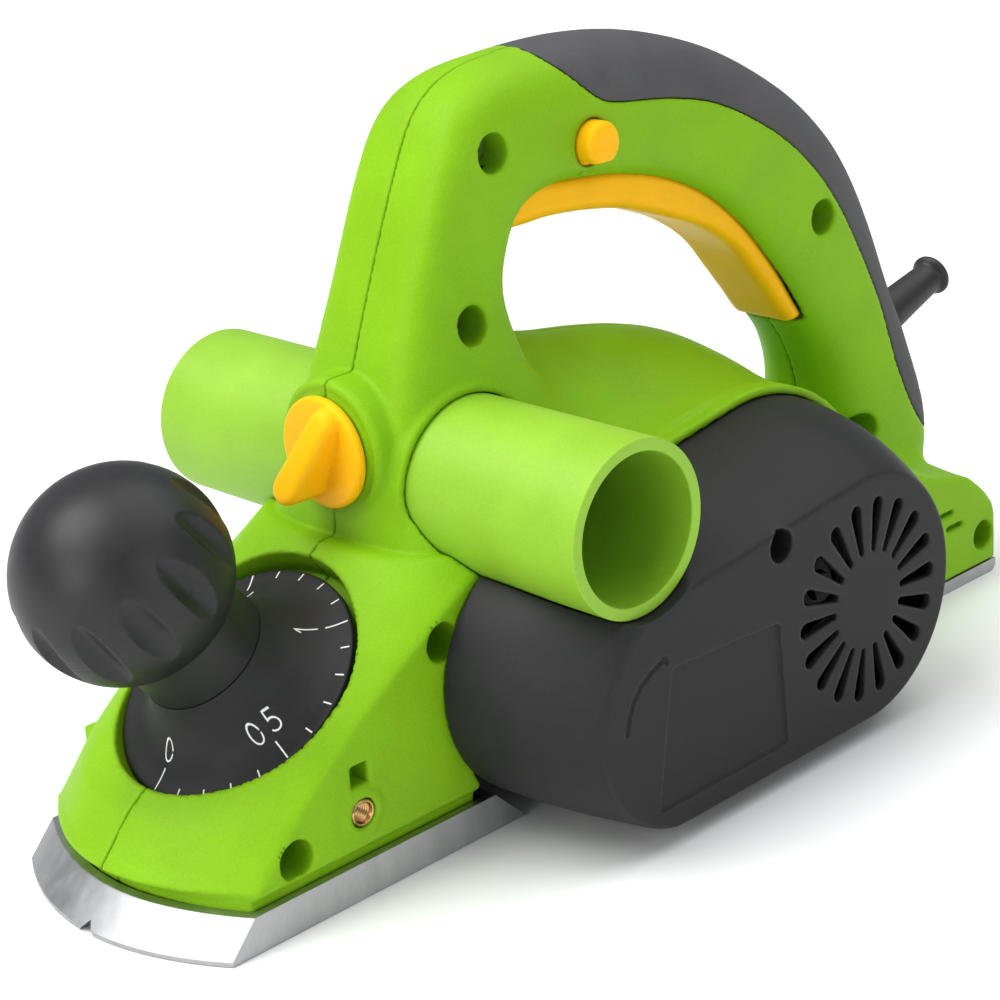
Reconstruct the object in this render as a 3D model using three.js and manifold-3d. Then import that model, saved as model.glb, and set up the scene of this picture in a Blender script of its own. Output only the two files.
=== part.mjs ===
// Electric hand planer, in millimetres. +X runs to the rear, -Y is the belt side and +Z is up.
// The origin is the centre of the rear sole's underside.
import * as THREE from "three";
import { mergeVertices } from "three/addons/utils/BufferGeometryUtils.js";
import Module from "manifold-3d";

const wasm = await Module();
wasm.setup();

// Driving dimensions: fits and walls
const gap = 0.3; // left between two pieces that touch
const overrun = 3; // how far a cutter runs past the face it cuts
const wall = 2.6; // housing wall
const coverWall = 2.5;
const fineFacets = 26;
const roundFacets = 16;
const smallFacets = 8;
const bossFacets = 6;
const cupFacets = 20;
const beltFacets = 22;

// Driving dimensions: sole and shoes
const soleWidth = 82;
const rearShoeLength = 182;
const rearShoeThickness = 4;
const rearShoeBevel = 3;
const rearBossHeight = 12; // bosses for the rear shoe's screws
const rearScrewSetback = 29; // second shoe screw, from the rear end
const mouthLength = 26;
const frontShoeLength = 98;
const frontShoeBow = 12.7;
const frontShoeThickness = 10;
const frontShoeRim = 1.4; // upright edge below the front bevel
const frontShoeBevel = 8;
const shoeLift = 2; // deepest cut
const shoeBossHeadroom = 1; // left below the spindle's washer at the deepest cut
const shoeBossReach = 8; // how far the shoe's boss starts below the spindle's foot
const spindleFootRoom = 5;
const grooveWidth = 6.4;

// Driving dimensions: cutter
const cutRadius = 27.7;
const bladeSetBack = 0.3; // blade tips above the sole plane
const drumRadius = 25;
const drumRoom = 3; // between the blade tips and the housing
const stubRadius = 6;
const stubReach = 6; // past the drum pulley
const bladeThickness = 3;
const bladeHeight = 12;
const bladeOverhang = 0.5; // past the drum's ends
const bladeTurn = 69; // degrees from upright at rest
const clampThickness = 6;
const clampHeight = 11;
const gulletWidth = 5;
const gulletDepth = 5;

// Driving dimensions: motor
const motorSetback = 77; // motor axis behind the cutter axis
const motorZ = 41;
const barrelRadius = 50.5;
const barrelCap = 2.1; // barrel past the right motor bearing
const lipDepth = 4; // how far the barrel's rim reaches over the belt cover
const lipRise = 14; // lowest point of that rim above the motor axis
const statorRadius = 36;
const statorBore = 20;
const statorLength = 42;
const poleHalf = 11;
const poleLip = 3;
const yokeWidth = 7.4;
const coilWidth = 6.6;
const coilEnd = 4.6;
const airGap = 0.8;
const shaftRadius = 4;
const commutatorRadius = 11;
const commutatorLength = 13.5;
const commutatorSetOff = 3; // from the stator
const fanRadius = 33;
const fanSetOff = 4.3; // from the bearing bridge
const fanWidth = 9;
const fanToStator = 8;
const fanBlades = 8;
const coreSlots = 10;
const slotWidth = 3;
const slotDepth = 6;
const brushWidth = 6;
const brushHeight = 7;
const brushLength = 16;
const brushHolderWidth = 9;
const brushHolderHeight = 10;
const brushHolderReach = 36; // from the motor axis

// Driving dimensions: bearings, plates, belt
const motorBearingRadius = 11;
const motorBearingWidth = 7;
const bearingShoulder = 2.4; // between the commutator and its bearing
const drumBearingRadius = 14;
const drumBearingWidth = 8;
const bridgeThickness = 4;
const bearingBoss = 8.2; // depth of the bearing bosses on the plates
const bearingLip = 2.6; // wall round a bearing
const bridgeHoles = 6;
const bridgeHoleRadius = 6;
const drumPulleyRadius = 16.4;
const motorPulleyRadius = 9.5;
const pulleyWidth = 13;
const pulleySetOff = 13.7; // from the bridge's inner face
const nutRadius = 9;
const nutSides = 6;
const beltThickness = 1.8;

// Driving dimensions: belt cover
const coverDepth = 42.7;
const coverDrumBack = { x: -4, z: 42, r: 36.6 }; // circle round the drum end, x from the cutter axis
const coverDrumFace = { x: 5.5, z: 36.4, r: 29.6 };
const coverMotorBackRadius = 48.2;
const coverMotorFaceRadius = 34.6;
const coverFloorBack = 4.4;
const coverFloorFace = 5.4;
const coverScrewLead = 35; // cover screw, ahead of the motor axis
const coverScrewRise = 27.5; // and above it
const screwTubeFloor = 3;
const ventSlots = 18;
const ventInner = 13.4;
const ventOuter = 28.2;
const ventWidthInner = 1.7;
const ventWidthOuter = 4;

// Driving dimensions: chip duct and selector
const ductLead = 6.5; // duct axis, ahead of the cutter axis
const ductZ = 87;
const ductRadius = 22.4;
const ductWall = 3;
const ductOverhang = 39.5; // past the sole's side
const collarRadius = 25.6;
const collarReach = 27.5;
const throatLength = 24;
const throatWidth = 32;
const selectorZ = 98.6;
const selectorLead = 33.6; // face of the selector's boss, ahead of the cutter axis
const selectorRadius = 15.6;
const selectorDisc = 4.6;
const selectorBossRadius = 18;
const selectorBossDepth = 9;
const selectorShaftRadius = 3;
const selectorBar = { width: 7, depth: 9.5 };
const selectorTilt = 25; // degrees each way
const flapThickness = 2;
const flapRoom = 0.9;
const flapShaftReach = 11.25; // past the duct's axis

// Driving dimensions: depth knob
const knobTilt = 37; // degrees, spindle forward of upright
const dialSetback = 48.5; // dial centre behind the nose
const dialZ = 47.8;
const dialRadius = 34;
const dialThickness = 2.6;
const dialPocketRoom = 1;
const neckRadius = 14.6;
const neckTop = 16.5;
const neckStep = 1.2; // the ball's collar is narrower than the neck
const ballRadius = 27.4;
const ballHalfHeight = 26.7;
const ballHeight = 49.4; // ball centre above the dial's rim
const ballRecess = 3; // dark groove under the ball
const spindleRadius = 4;
const spindleFoot = -44;
const spindleHead = 30;
const hubRadius = 8.5;
const hubFoot = -20;
const spindleWasher = 2;
const washerWidth = 3;
const guideRadius = 3.5;
const guideSleeve = 3.4;
const guideSleeveFoot = 6;
const guideSleeveTop = 24;
const guideTop = 22;
const guideTravelRoom = 4;
const guideDepth = 7; // pins in the shoe
const guideSetback = 18.7; // pins behind the dial's centre

// Driving dimensions: housing
const noseSetback = 4.5; // nose behind the front shoe's edge
const noseFloor = 12.6;
const noseHeight = 76;
const noseLength = 123.5;
const bodyFloor = 4.3;
const tailLength = 67;
const tailHeight = 40;
const handleLead = 42; // front of the handle's foot, ahead of the cutter axis
const handleHeight = 189;
const handleHalfWidth = 18;
const gripThickness = 2.3;
const gripFloor = 2.08; // housing wall under the grip
const insertSetback = 52.2; // fence insert behind the nose
const insertRise = 10.4; // and above the nose's floor
const insertRadius = 3.6;
const insertBore = 2.5;
const insertLength = 12;
const pocketRise = 7.4; // square pocket above the insert
const pocketWidth = 5.6;
const pocketHeight = 5.8;
const pocketDepth = 7;
const tailVentRise = 24.8;
const tailVentStep = 5;
const tailVentPitch = 5.2;
const tailVentHeight = 1.6;
const rightVentCount = 12;
const rightVentInner = 21;
const rightVentOuter = 40;
const rightVentWidth = 3.4;

// Driving dimensions: screws
const screwHeadRadius = 4;
const screwHeadHeight = 2.6;
const screwShankRadius = 1.75;
const screwLength = 24;
const screwSeatDepth = 9; // seat left of the seam
const counterbore = 5.2;
const bossWall = 1.8;
const noseScrewSetback = 30.5; // screw behind the nose
const noseScrewRise = 6.49; // and above its floor
const dialScrewSetback = 33.8; // screw behind the dial's centre
const dialScrewRise = 9.84; // and above it
const postScrewSetback = 7.6; // screw behind the duct's axis
const postScrewRise = 38.5; // and above it

// Driving dimensions: controls in the handle
const triggerWidth = 26;
const triggerPull = 3.4; // degrees
const triggerSteps = 8; // places of the pull that the slot is cut for
const triggerRoom = 0.8;
const triggerPinRadius = 2;
const pinBossRadius = 4.4;
const triggerSpringLength = 18.5;
const triggerSpringRadius = 4.2;
const triggerSpringCurls = 5;
const springSeat = 6.2;
const springWire = 0.8;
const buttonRadius = 6;
const buttonProud = 4.5;
const buttonInnerEnd = 8;
const buttonGuideY = 1;
const buttonFlangeRadius = 7.6;
const buttonFlangeWidth = 1.8;
const buttonSpringCurls = 3;
const switchLength = 28;
const switchHeight = 17;
const switchWidth = 18;
const switchSetback = 3.8; // behind the button
const switchRise = 0.6; // above the button's lowest point
const actuatorSetback = 12.6; // behind the switch's front
const actuatorWidth = 3;
const actuatorDrop = 6; // below the trigger's pin
const sleeveRadius = 6.3;
const sleeveEndRadius = 4.3;
const sleeveFlangeRadius = 5.4;
const sleeveBore = 2.8;
const sleeveReach = 34;
const sleeveInner = 7;
const sleeveTilt = 16; // degrees above level
const clampSetback = 27; // lead clamp, from the rear end
const clampDrop = 6; // below the sleeve
const clampLength = 5;

// Derived places
const halfSole = soleWidth / 2;
const rearEnd = rearShoeLength / 2;
const cutterX = -(rearShoeLength + mouthLength) / 2;
const cutterZ = cutRadius + bladeSetBack;
const frontShoeRear = -rearEnd - mouthLength;
const frontShoeCorner = frontShoeRear - frontShoeLength;
const noseX = frontShoeCorner - frontShoeBow + noseSetback;
const motorX = cutterX + motorSetback;
const ductAxisX = cutterX - ductLead;
const ductReach = halfSole + ductOverhang;
const selectorFaceX = cutterX - selectorLead;
const handleLength = rearEnd - cutterX + handleLead;
const drumHole = cutRadius + drumRoom;
const ductHole = ductRadius + gap * 2;
const knobAxis = new THREE.Vector3(
  -Math.sin(THREE.MathUtils.degToRad(knobTilt)), 0, Math.cos(THREE.MathUtils.degToRad(knobTilt)));
const dialCentre = new THREE.Vector3(noseX + dialSetback, 0, dialZ);
const plateY = halfSole + gap; // inner face of the bearing bridge and of the drum end plate
const coverBackY = -plateY;
const coverFaceY = coverBackY - coverDepth;
const pulleyY1 = -plateY - pulleySetOff;
const pulleyY0 = pulleyY1 - pulleyWidth;
const fanY0 = -plateY + fanSetOff;
const fanY1 = fanY0 + fanWidth;
const statorY0 = fanY1 + fanToStator;
const statorY1 = statorY0 + statorLength;
const commutatorY0 = statorY1 + commutatorSetOff;
const commutatorY1 = commutatorY0 + commutatorLength;
const brushY = (commutatorY0 + commutatorY1) / 2;
const motorBearingY0 = commutatorY1 + bearingShoulder;
const motorBearingY1 = motorBearingY0 + motorBearingWidth;
const barrelRightY = motorBearingY1 + barrelCap;
const insertX = noseX + insertSetback;
const insertZ = noseFloor + insertRise;
const pocketZ = insertZ + pocketRise;
const screwSeatY = -screwSeatDepth;
const triggerPinHalf = handleHalfWidth - wall;
const triggerSlotHalf = triggerWidth / 2 + gap * 2;
const farAway = handleLength * 2;

const v = (x, y, z) => new THREE.Vector3(x, y, z);
const radians = THREE.MathUtils.degToRad;
const mix = THREE.MathUtils.lerp;

// A closed mesh as a solid, turned inside out where its faces point in
function solid(geometry) {
  const bare = geometry.clone();
  bare.deleteAttribute("normal");
  bare.deleteAttribute("uv");
  const joined = mergeVertices(bare);
  const index = joined.index.array;
  const triangles = [];
  for (let i = 0; i < index.length; i += 3) {
    const [a, b, c] = [index[i], index[i + 1], index[i + 2]];
    if (a !== b && b !== c && c !== a) triangles.push(a, b, c);
  }
  const vertProperties = Float32Array.from(joined.attributes.position.array);
  const build = (list) => new wasm.Manifold(
    new wasm.Mesh({ numProp: 3, vertProperties, triVerts: Uint32Array.from(list) }));
  const made = build(triangles);
  if (made.volume() > 0) return made;
  return build(triangles.reverse());
}

function block(x0, x1, y0, y1, z0, z1) {
  const geometry = new THREE.BoxGeometry(x1 - x0, y1 - y0, z1 - z0);
  geometry.translate((x0 + x1) / 2, (y0 + y1) / 2, (z0 + z1) / 2);
  return solid(geometry);
}

// A round bar or cone from one point to another
function rod(from, to, radius, facets = roundFacets, endRadius = radius) {
  const along = to.clone().sub(from);
  const geometry = new THREE.CylinderGeometry(endRadius, radius, along.length(), facets);
  geometry.applyQuaternion(new THREE.Quaternion().setFromUnitVectors(v(0, 1, 0), along.clone().normalize()));
  geometry.translate(...from.clone().add(to).multiplyScalar(1 / 2).toArray());
  return solid(geometry);
}

function rodY(x, z, radius, y0, y1, facets = roundFacets) {
  return rod(v(x, y0, z), v(x, y1, z), radius, facets);
}

function ringY(x, z, outer, inner, y0, y1, facets = roundFacets) {
  return rodY(x, z, outer, y0, y1, facets).subtract(rodY(x, z, inner, y0 - overrun, y1 + overrun, facets));
}

// A turned piece: profile points are [radius, height] along the axis from the base point
function turned(profile, base, axis, facets = roundFacets) {
  const geometry = new THREE.LatheGeometry(profile.map(([r, h]) => new THREE.Vector2(r, h)), facets);
  geometry.applyQuaternion(new THREE.Quaternion().setFromUnitVectors(v(0, 1, 0), axis));
  geometry.translate(base.x, base.y, base.z);
  return solid(geometry);
}

// A plate with an outline of [x, z] points, between two Y values
function plate(outline, y0, y1) {
  const shape = new THREE.Shape(outline.map(([x, z]) => new THREE.Vector2(x, z)));
  const geometry = new THREE.ExtrudeGeometry(shape, { depth: y1 - y0, bevelEnabled: false });
  geometry.rotateX(Math.PI / 2);
  geometry.translate(0, y1, 0);
  return solid(geometry);
}

// Triangles that close a flat loop of points
function capTriangles(loop) {
  const normal = v(0, 0, 0);
  loop.forEach((p, i) => normal.add(p.clone().cross(loop[(i + 1) % loop.length])));
  const size = [Math.abs(normal.x), Math.abs(normal.y), Math.abs(normal.z)];
  const drop = size.indexOf(Math.max(...size));
  const flat = loop.map((p) => {
    const rest = p.toArray().filter((_, axis) => axis !== drop);
    return new THREE.Vector2(rest[0], rest[1]);
  });
  const turning = THREE.ShapeUtils.area(flat) > 0;
  return THREE.ShapeUtils.triangulateShape(flat, []).map((face) => {
    const corners = face.map((i) => flat[i]);
    return THREE.ShapeUtils.area(corners) > 0 === turning ? face : [face[0], face[2], face[1]];
  });
}

// A solid through a row of loops with equal point counts
function loft(loops) {
  const count = loops[0].length;
  const positions = loops.flat().flatMap((p) => p.toArray());
  const index = [];
  for (let row = 0; row < loops.length - 1; row += 1) {
    for (let i = 0; i < count; i += 1) {
      const a = row * count + i;
      const b = row * count + (i + 1) % count;
      index.push(a, b, b + count, a, b + count, a + count);
    }
  }
  capTriangles(loops[0]).forEach(([a, b, c]) => index.push(a, c, b));
  const last = (loops.length - 1) * count;
  capTriangles(loops[loops.length - 1]).forEach(([a, b, c]) => index.push(last + a, last + b, last + c));
  const geometry = new THREE.BufferGeometry();
  geometry.setAttribute("position", new THREE.Float32BufferAttribute(positions, 3));
  geometry.setIndex(index);
  return solid(geometry);
}

function union(...solids) {
  return solids.reduce((sum, next) => sum.add(next));
}

// A coil spring from a base point along an axis
function coil(base, axis, radius, length, curls) {
  const side = Math.abs(axis.y) > Math.abs(axis.x) ? v(1, 0, 0) : v(0, 1, 0);
  const across = side.clone().cross(axis).normalize();
  const other = axis.clone().cross(across);
  class Helix extends THREE.Curve {
    getPoint(t, target = v(0, 0, 0)) {
      const angle = t * curls * 2 * Math.PI;
      const rise = springWire + t * (length - springWire * 2);
      return target.copy(base).addScaledVector(axis, rise)
        .addScaledVector(across, radius * Math.cos(angle)).addScaledVector(other, radius * Math.sin(angle));
    }
  }
  const sides = 5;
  const ring = Array.from({ length: sides }, (_, i) => {
    const angle = (i / sides) * 2 * Math.PI;
    return new THREE.Vector2(springWire / 2 * Math.cos(angle), springWire / 2 * Math.sin(angle));
  });
  const stepsPerCurl = 8;
  const points = new Helix().getPoints(curls * stepsPerCurl);
  const apart = points.flatMap((p, i) => points.slice(i + stepsPerCurl / 2).map((q) => p.distanceTo(q)));
  console.log(`spring of ${curls} curls: least gap to itself ${(Math.min(...apart) - springWire).toFixed(2)} mm`);
  const geometry = new THREE.ExtrudeGeometry(new THREE.Shape(ring), {
    steps: curls * stepsPerCurl, extrudePath: new Helix(), bevelEnabled: false,
  });
  return solid(geometry);
}

// Outline round two circles with their shared tangents, flattened at a floor
function twoCircles(a, b, floor, count = fineFacets) {
  const heading = Math.atan2(b.z - a.z, b.x - a.x);
  const spread = Math.acos((a.r - b.r) / Math.hypot(b.x - a.x, b.z - a.z));
  const steps = count / 2;
  const arc = (circle, from, to) => Array.from({ length: steps + 1 }, (_, i) => {
    const angle = mix(from, to, i / steps);
    return [circle.x + circle.r * Math.cos(angle), Math.max(circle.z + circle.r * Math.sin(angle), floor)];
  });
  return [
    ...arc(b, heading - spread, heading + spread), ...arc(a, heading + spread, heading - spread + 2 * Math.PI),
  ];
}

// An outline grown outwards along its corner normals
function grown(outline, by) {
  const turning = THREE.ShapeUtils.area(outline.map(([x, z]) => new THREE.Vector2(x, z))) > 0 ? 1 : -1;
  return outline.map(([x, z], i) => {
    const [px, pz] = outline[(i + outline.length - 1) % outline.length];
    const [nx, nz] = outline[(i + 1) % outline.length];
    const normal = new THREE.Vector2(nz - pz, px - nx).normalize().multiplyScalar(by * turning);
    return [x + normal.x, z + normal.y];
  });
}

// Points named as shares of the handle: x forward from the sole's rear end, z up from the sole
const onHandle = ([back, up]) => [rearEnd - back * handleLength, up * handleHeight];

// Handle loop stations: outer edge, inner edge, half width, squareness
const handleShares = [
  [0.974, 0.349, 0.671, 0.349, 2.222, 4.0],
  [0.968, 0.413, 0.688, 0.413, 1.889, 4.0],
  [0.954, 0.513, 0.717, 0.545, 1.389, 4.5],
  [0.932, 0.593, 0.747, 0.603, 1.194, 5.0],
  [0.895, 0.714, 0.764, 0.688, 1.028, 5.0],
  [0.848, 0.852, 0.751, 0.757, 1.000, 5.0],
  [0.812, 0.937, 0.722, 0.802, 1.000, 4.0],
  [0.764, 0.981, 0.671, 0.820, 1.000, 3.2],
  [0.688, 0.998, 0.616, 0.815, 1.000, 2.8],
  [0.578, 1.000, 0.557, 0.802, 1.000, 2.6],
  [0.468, 0.979, 0.485, 0.775, 1.000, 2.6],
  [0.350, 0.929, 0.414, 0.730, 1.000, 2.6],
  [0.241, 0.852, 0.354, 0.669, 1.000, 2.6],
  [0.169, 0.778, 0.312, 0.611, 1.000, 2.6],
  [0.122, 0.704, 0.278, 0.556, 1.000, 2.6],
  [0.084, 0.608, 0.249, 0.492, 1.000, 2.6],
  [0.051, 0.492, 0.215, 0.429, 1.000, 2.8],
  [0.023, 0.386, 0.194, 0.354, 1.056, 3.0],
  [0.002, 0.243, 0.181, 0.265, 1.167, 3.5],
  [0.030, 0.100, 0.176, 0.100, 1.180, 4.0],
];
const handleLoopPoints = 14;
const innerLoopPoints = 10;

function handleSweep(inset, points = inset > 0 ? innerLoopPoints : handleLoopPoints) {
  const loops = handleShares.map(([outBack, outUp, inBack, inUp, width, square]) => {
    const [ox, oz] = onHandle([outBack, outUp]);
    const [ix, iz] = onHandle([inBack, inUp]);
    const centre = v((ox + ix) / 2, 0, (oz + iz) / 2);
    const across = v(ix - ox, 0, iz - oz);
    const halfDepth = across.length() / 2 - inset;
    const halfWidth = width * handleHalfWidth - inset;
    across.normalize();
    return Array.from({ length: points }, (_, i) => {
      const angle = (i / points) * 2 * Math.PI;
      const bend = (s) => Math.sign(s) * Math.abs(s) ** (2 / square);
      return centre.clone().addScaledVector(across, halfDepth * bend(Math.cos(angle)))
        .add(v(0, halfWidth * bend(Math.sin(angle)), 0));
    });
  });
  return loft(loops);
}

// Nose slices: height, centre line and side edge as shares of the nose
const noseShares = [
  [0.166, 0.000, 0.134], [0.204, 0.017, 0.155], [0.276, 0.059, 0.198], [0.350, 0.098, 0.239],
  [0.403, 0.146, 0.266], [0.626, 0.336, 0.437], [0.822, 0.497, 0.628], [0.942, 0.595, 0.773],
  [1.000, 0.644, 0.838],
];
const noseArcPoints = 8;
const innerArcPoints = 6;

function nose(inset) {
  const shift = inset / Math.sin(radians(knobTilt));
  const halfWidth = halfSole - inset;
  const points = inset > 0 ? innerArcPoints : noseArcPoints;
  const loops = noseShares.map(([up, centre, corner]) => {
    const z = mix(noseFloor, noseHeight, (up - noseShares[0][0]) / (1 - noseShares[0][0]));
    const level = Math.min(Math.max(z, noseFloor + inset), noseHeight - inset);
    const xCentre = noseX + centre * noseLength + shift;
    const xCorner = noseX + corner * noseLength + shift;
    const loop = Array.from({ length: points + 1 }, (_, i) => {
      const side = 1 - (2 * i) / points;
      return v(mix(xCentre, xCorner, side * side), side * halfWidth, level);
    });
    const rear = noseX + noseLength;
    return [...loop, v(rear, -halfWidth, level), v(rear, halfWidth, level)];
  });
  return loft(inset > 0 ? loops.slice(1) : loops);
}

// The body between nose and tail: its top edge at the sides and along the middle, from the motor axis
const humpEdgeShares = [
  [-1.96, 0.61], [-1.45, 0.77], [-1.05, 0.87], [-0.65, 0.93], [-0.34, 0.99], [-0.02, 1.00],
  [0.27, 0.94], [0.56, 0.79], [0.77, 0.63], [1.01, 0.38],
];
const humpCrestShares = [
  [-1.96, 1.01], [-1.45, 1.37], [-1.05, 1.39], [-0.69, 1.32], [-0.36, 1.26], [-0.02, 1.18],
  [0.28, 1.08], [0.56, 0.93], [0.81, 0.78], [1.05, 0.65],
];
const tailEdgeShares = [[0.791, 1.27], [0.507, 1.02], [0.358, 1.00], [0.194, 0.85], [0.075, 0.60], [0.007, 0.30]];
const tailCrestShares = [[0.761, 1.55], [0.507, 1.25], [0.358, 1.15], [0.194, 1.00], [0.075, 0.75], [0.007, 0.35]];
const trunkSlices = 6;
const innerSlices = 4;

function trunk(inset) {
  const hump = ([along, up]) => [motorX + along * barrelRadius, motorZ + up * barrelRadius];
  const tail = ([along, up]) => [rearEnd - along * tailLength, up * tailHeight];
  const edge = [...humpEdgeShares.map(hump), ...tailEdgeShares.map(tail)];
  const crest = [...humpCrestShares.map(hump), ...tailCrestShares.map(tail)];
  const front = edge[0][0] + inset;
  const rear = rearEnd - inset;
  const floor = bodyFloor + inset;
  const slices = inset > 0 ? innerSlices : trunkSlices;
  const loops = Array.from({ length: slices + 1 }, (_, i) => {
    const side = (2 * i) / slices - 1;
    const crown = Math.cos((side * Math.PI) / 2) ** 2;
    const y = side * (halfSole - inset);
    const top = edge.map(([x, z], k) => {
      const px = Math.min(Math.max(mix(x, crest[k][0], crown), front), rear);
      return v(px, y, Math.max(mix(z, crest[k][1], crown) - inset, floor + inset));
    });
    return [v(front, y, floor), ...top, v(rear, y, floor)];
  });
  return loft(loops);
}

// The whole casing's outer form, or the same form drawn in by the wall
function casing(inset) {
  const barrel = rodY(motorX, motorZ, barrelRadius - inset, -halfSole + inset, barrelRightY - inset, fineFacets)
    .intersect(block(motorX - barrelRadius * 2, motorX + barrelRadius * 2, -soleWidth, soleWidth,
      bodyFloor + inset, handleHeight));
  return union(nose(inset), trunk(inset), barrel);
}

// Soft back of the handle: the side edge of the rubber, from the front of the crest to the tail
const gripShares = [
  [0.675, 1.008], [0.686, 0.987], [0.633, 0.942], [0.595, 0.919], [0.485, 0.893], [0.401, 0.862],
  [0.308, 0.799], [0.242, 0.733], [0.190, 0.656], [0.143, 0.556], [0.108, 0.466], [0.080, 0.344],
  [0.044, 0.254], [-0.012, 0.222], [-0.06, 0.4], [-0.05, 1.05], [0.675, 1.06],
];
const gripSide = handleHalfWidth * 2;
const gripRegion = (inset) => plate(grown(gripShares.map(onHandle), -inset), -gripSide, gripSide);
const withinSole = block(-farAway, farAway, -halfSole, halfSole, -farAway, farAway);
const handleOuter = handleSweep(0).intersect(withinSole);
const handleInner = handleSweep(wall).subtract(gripRegion(-wall))
  .add(handleSweep(gripThickness + gap + gripFloor, handleLoopPoints));
const outerForm = casing(0).add(handleOuter);
const innerForm = casing(wall).add(handleInner);

// The belt cover's section at a share of its depth, drawn in by an inset
function coverOutline(share, inset) {
  const bulge = share * share;
  const drum = {
    x: cutterX + mix(coverDrumBack.x, coverDrumFace.x, bulge),
    z: mix(coverDrumBack.z, coverDrumFace.z, bulge),
    r: mix(coverDrumBack.r, coverDrumFace.r, bulge) - inset,
  };
  const motor = { x: motorX, z: motorZ, r: mix(coverMotorBackRadius, coverMotorFaceRadius, bulge) - inset };
  return twoCircles(drum, motor, mix(coverFloorBack, coverFloorFace, bulge) + inset);
}

// The belt cover's form from its back edge to a depth, drawn in by an inset
function coverForm(inset, faceY, backY) {
  const slices = 4;
  const depth = coverFaceY - coverBackY;
  const loops = Array.from({ length: slices + 1 }, (_, i) => {
    const y = mix(backY, faceY, i / slices);
    const share = Math.max((y - coverBackY) / depth, 0);
    return coverOutline(share, inset).map(([x, z]) => v(x, y, z));
  });
  return loft(loops);
}

// Screws that join the two casings: one in the nose, one behind the dial, one in the post above the duct, and
// the others at shares of the handle
const handleScrewShares = [[0.766, 0.885], [0.220, 0.642], [0.156, 0.275], [0.027, 0.071]];
const housingScrews = [
  [noseX + noseScrewSetback, noseFloor + noseScrewRise],
  [dialCentre.x + dialScrewSetback, dialCentre.z + dialScrewRise],
  [ductAxisX + postScrewSetback, ductZ + postScrewRise],
  ...handleScrewShares.map(onHandle),
];
const shoeScrewX = [cutterX + drumHole + wall + screwHeadRadius + gap * 2, rearEnd - rearScrewSetback];
const coverScrewAt = [motorX - coverScrewLead, motorZ + coverScrewRise];

// Trigger outline: the finger side from the front, then the back
const triggerShares = [
  [0.764, 0.799], [0.738, 0.765], [0.654, 0.766], [0.595, 0.758], [0.540, 0.743], [0.477, 0.714],
  [0.414, 0.680], [0.357, 0.632], [0.318, 0.574], [0.289, 0.529], [0.266, 0.489], [0.236, 0.492],
  [0.253, 0.534], [0.291, 0.608], [0.333, 0.672], [0.397, 0.738], [0.470, 0.780], [0.553, 0.806],
  [0.656, 0.819], [0.713, 0.847], [0.747, 0.857], [0.768, 0.836],
];
const [triggerPivotX, triggerPivotZ] = onHandle([0.747, 0.825]);
const [buttonX, buttonZ] = onHandle([0.627, 0.868]);
const [sleeveX, sleeveZ] = onHandle([0.034, 0.392]);
const switchX0 = buttonX + buttonRadius + switchSetback;
const switchZ0 = buttonZ - buttonRadius + switchRise;
const actuatorX = switchX0 + actuatorSetback;
const triggerSpringShares = [0.3844, 0.7939];
const [triggerSpringX, triggerSpringTop] = onHandle(triggerSpringShares);
const clampX = rearEnd - clampSetback;
const clampZ = sleeveZ - clampDrop;
const sleeveAxis = v(Math.cos(radians(sleeveTilt)), 0, Math.sin(radians(sleeveTilt)));
const sleevePoint = (along) => v(sleeveX, 0, sleeveZ).addScaledVector(sleeveAxis, along);

// A solid turned about the trigger's pin, positive when the trigger is pulled
function pulled(shape, degrees) {
  const move = new THREE.Matrix4().makeTranslation(triggerPivotX, 0, triggerPivotZ)
    .multiply(new THREE.Matrix4().makeRotationY(-radians(degrees)))
    .multiply(new THREE.Matrix4().makeTranslation(-triggerPivotX, 0, -triggerPivotZ));
  return shape.transform(move.elements);
}

// Radius of a hole with flat sides that clears a shaft turning in it
const turningHole = (radius, facets) => (radius + gap) / Math.cos(Math.PI / facets);

// A place beside the spindle, at a height along the knob's axis
function onKnobAxis(height, side = 0, base = dialCentre) {
  return base.clone().addScaledVector(knobAxis, height).add(v(0, side, 0));
}

const guideSide = halfSole - insertLength - guideRadius - gap; // beside the fence insert
const guidePlaces = [-1, 1].map((side) => v(dialCentre.x + guideSetback, side * guideSide, noseFloor));

const tailVentShares = [0.42, 0.27]; // of the tail's length, from the rear end

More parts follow.
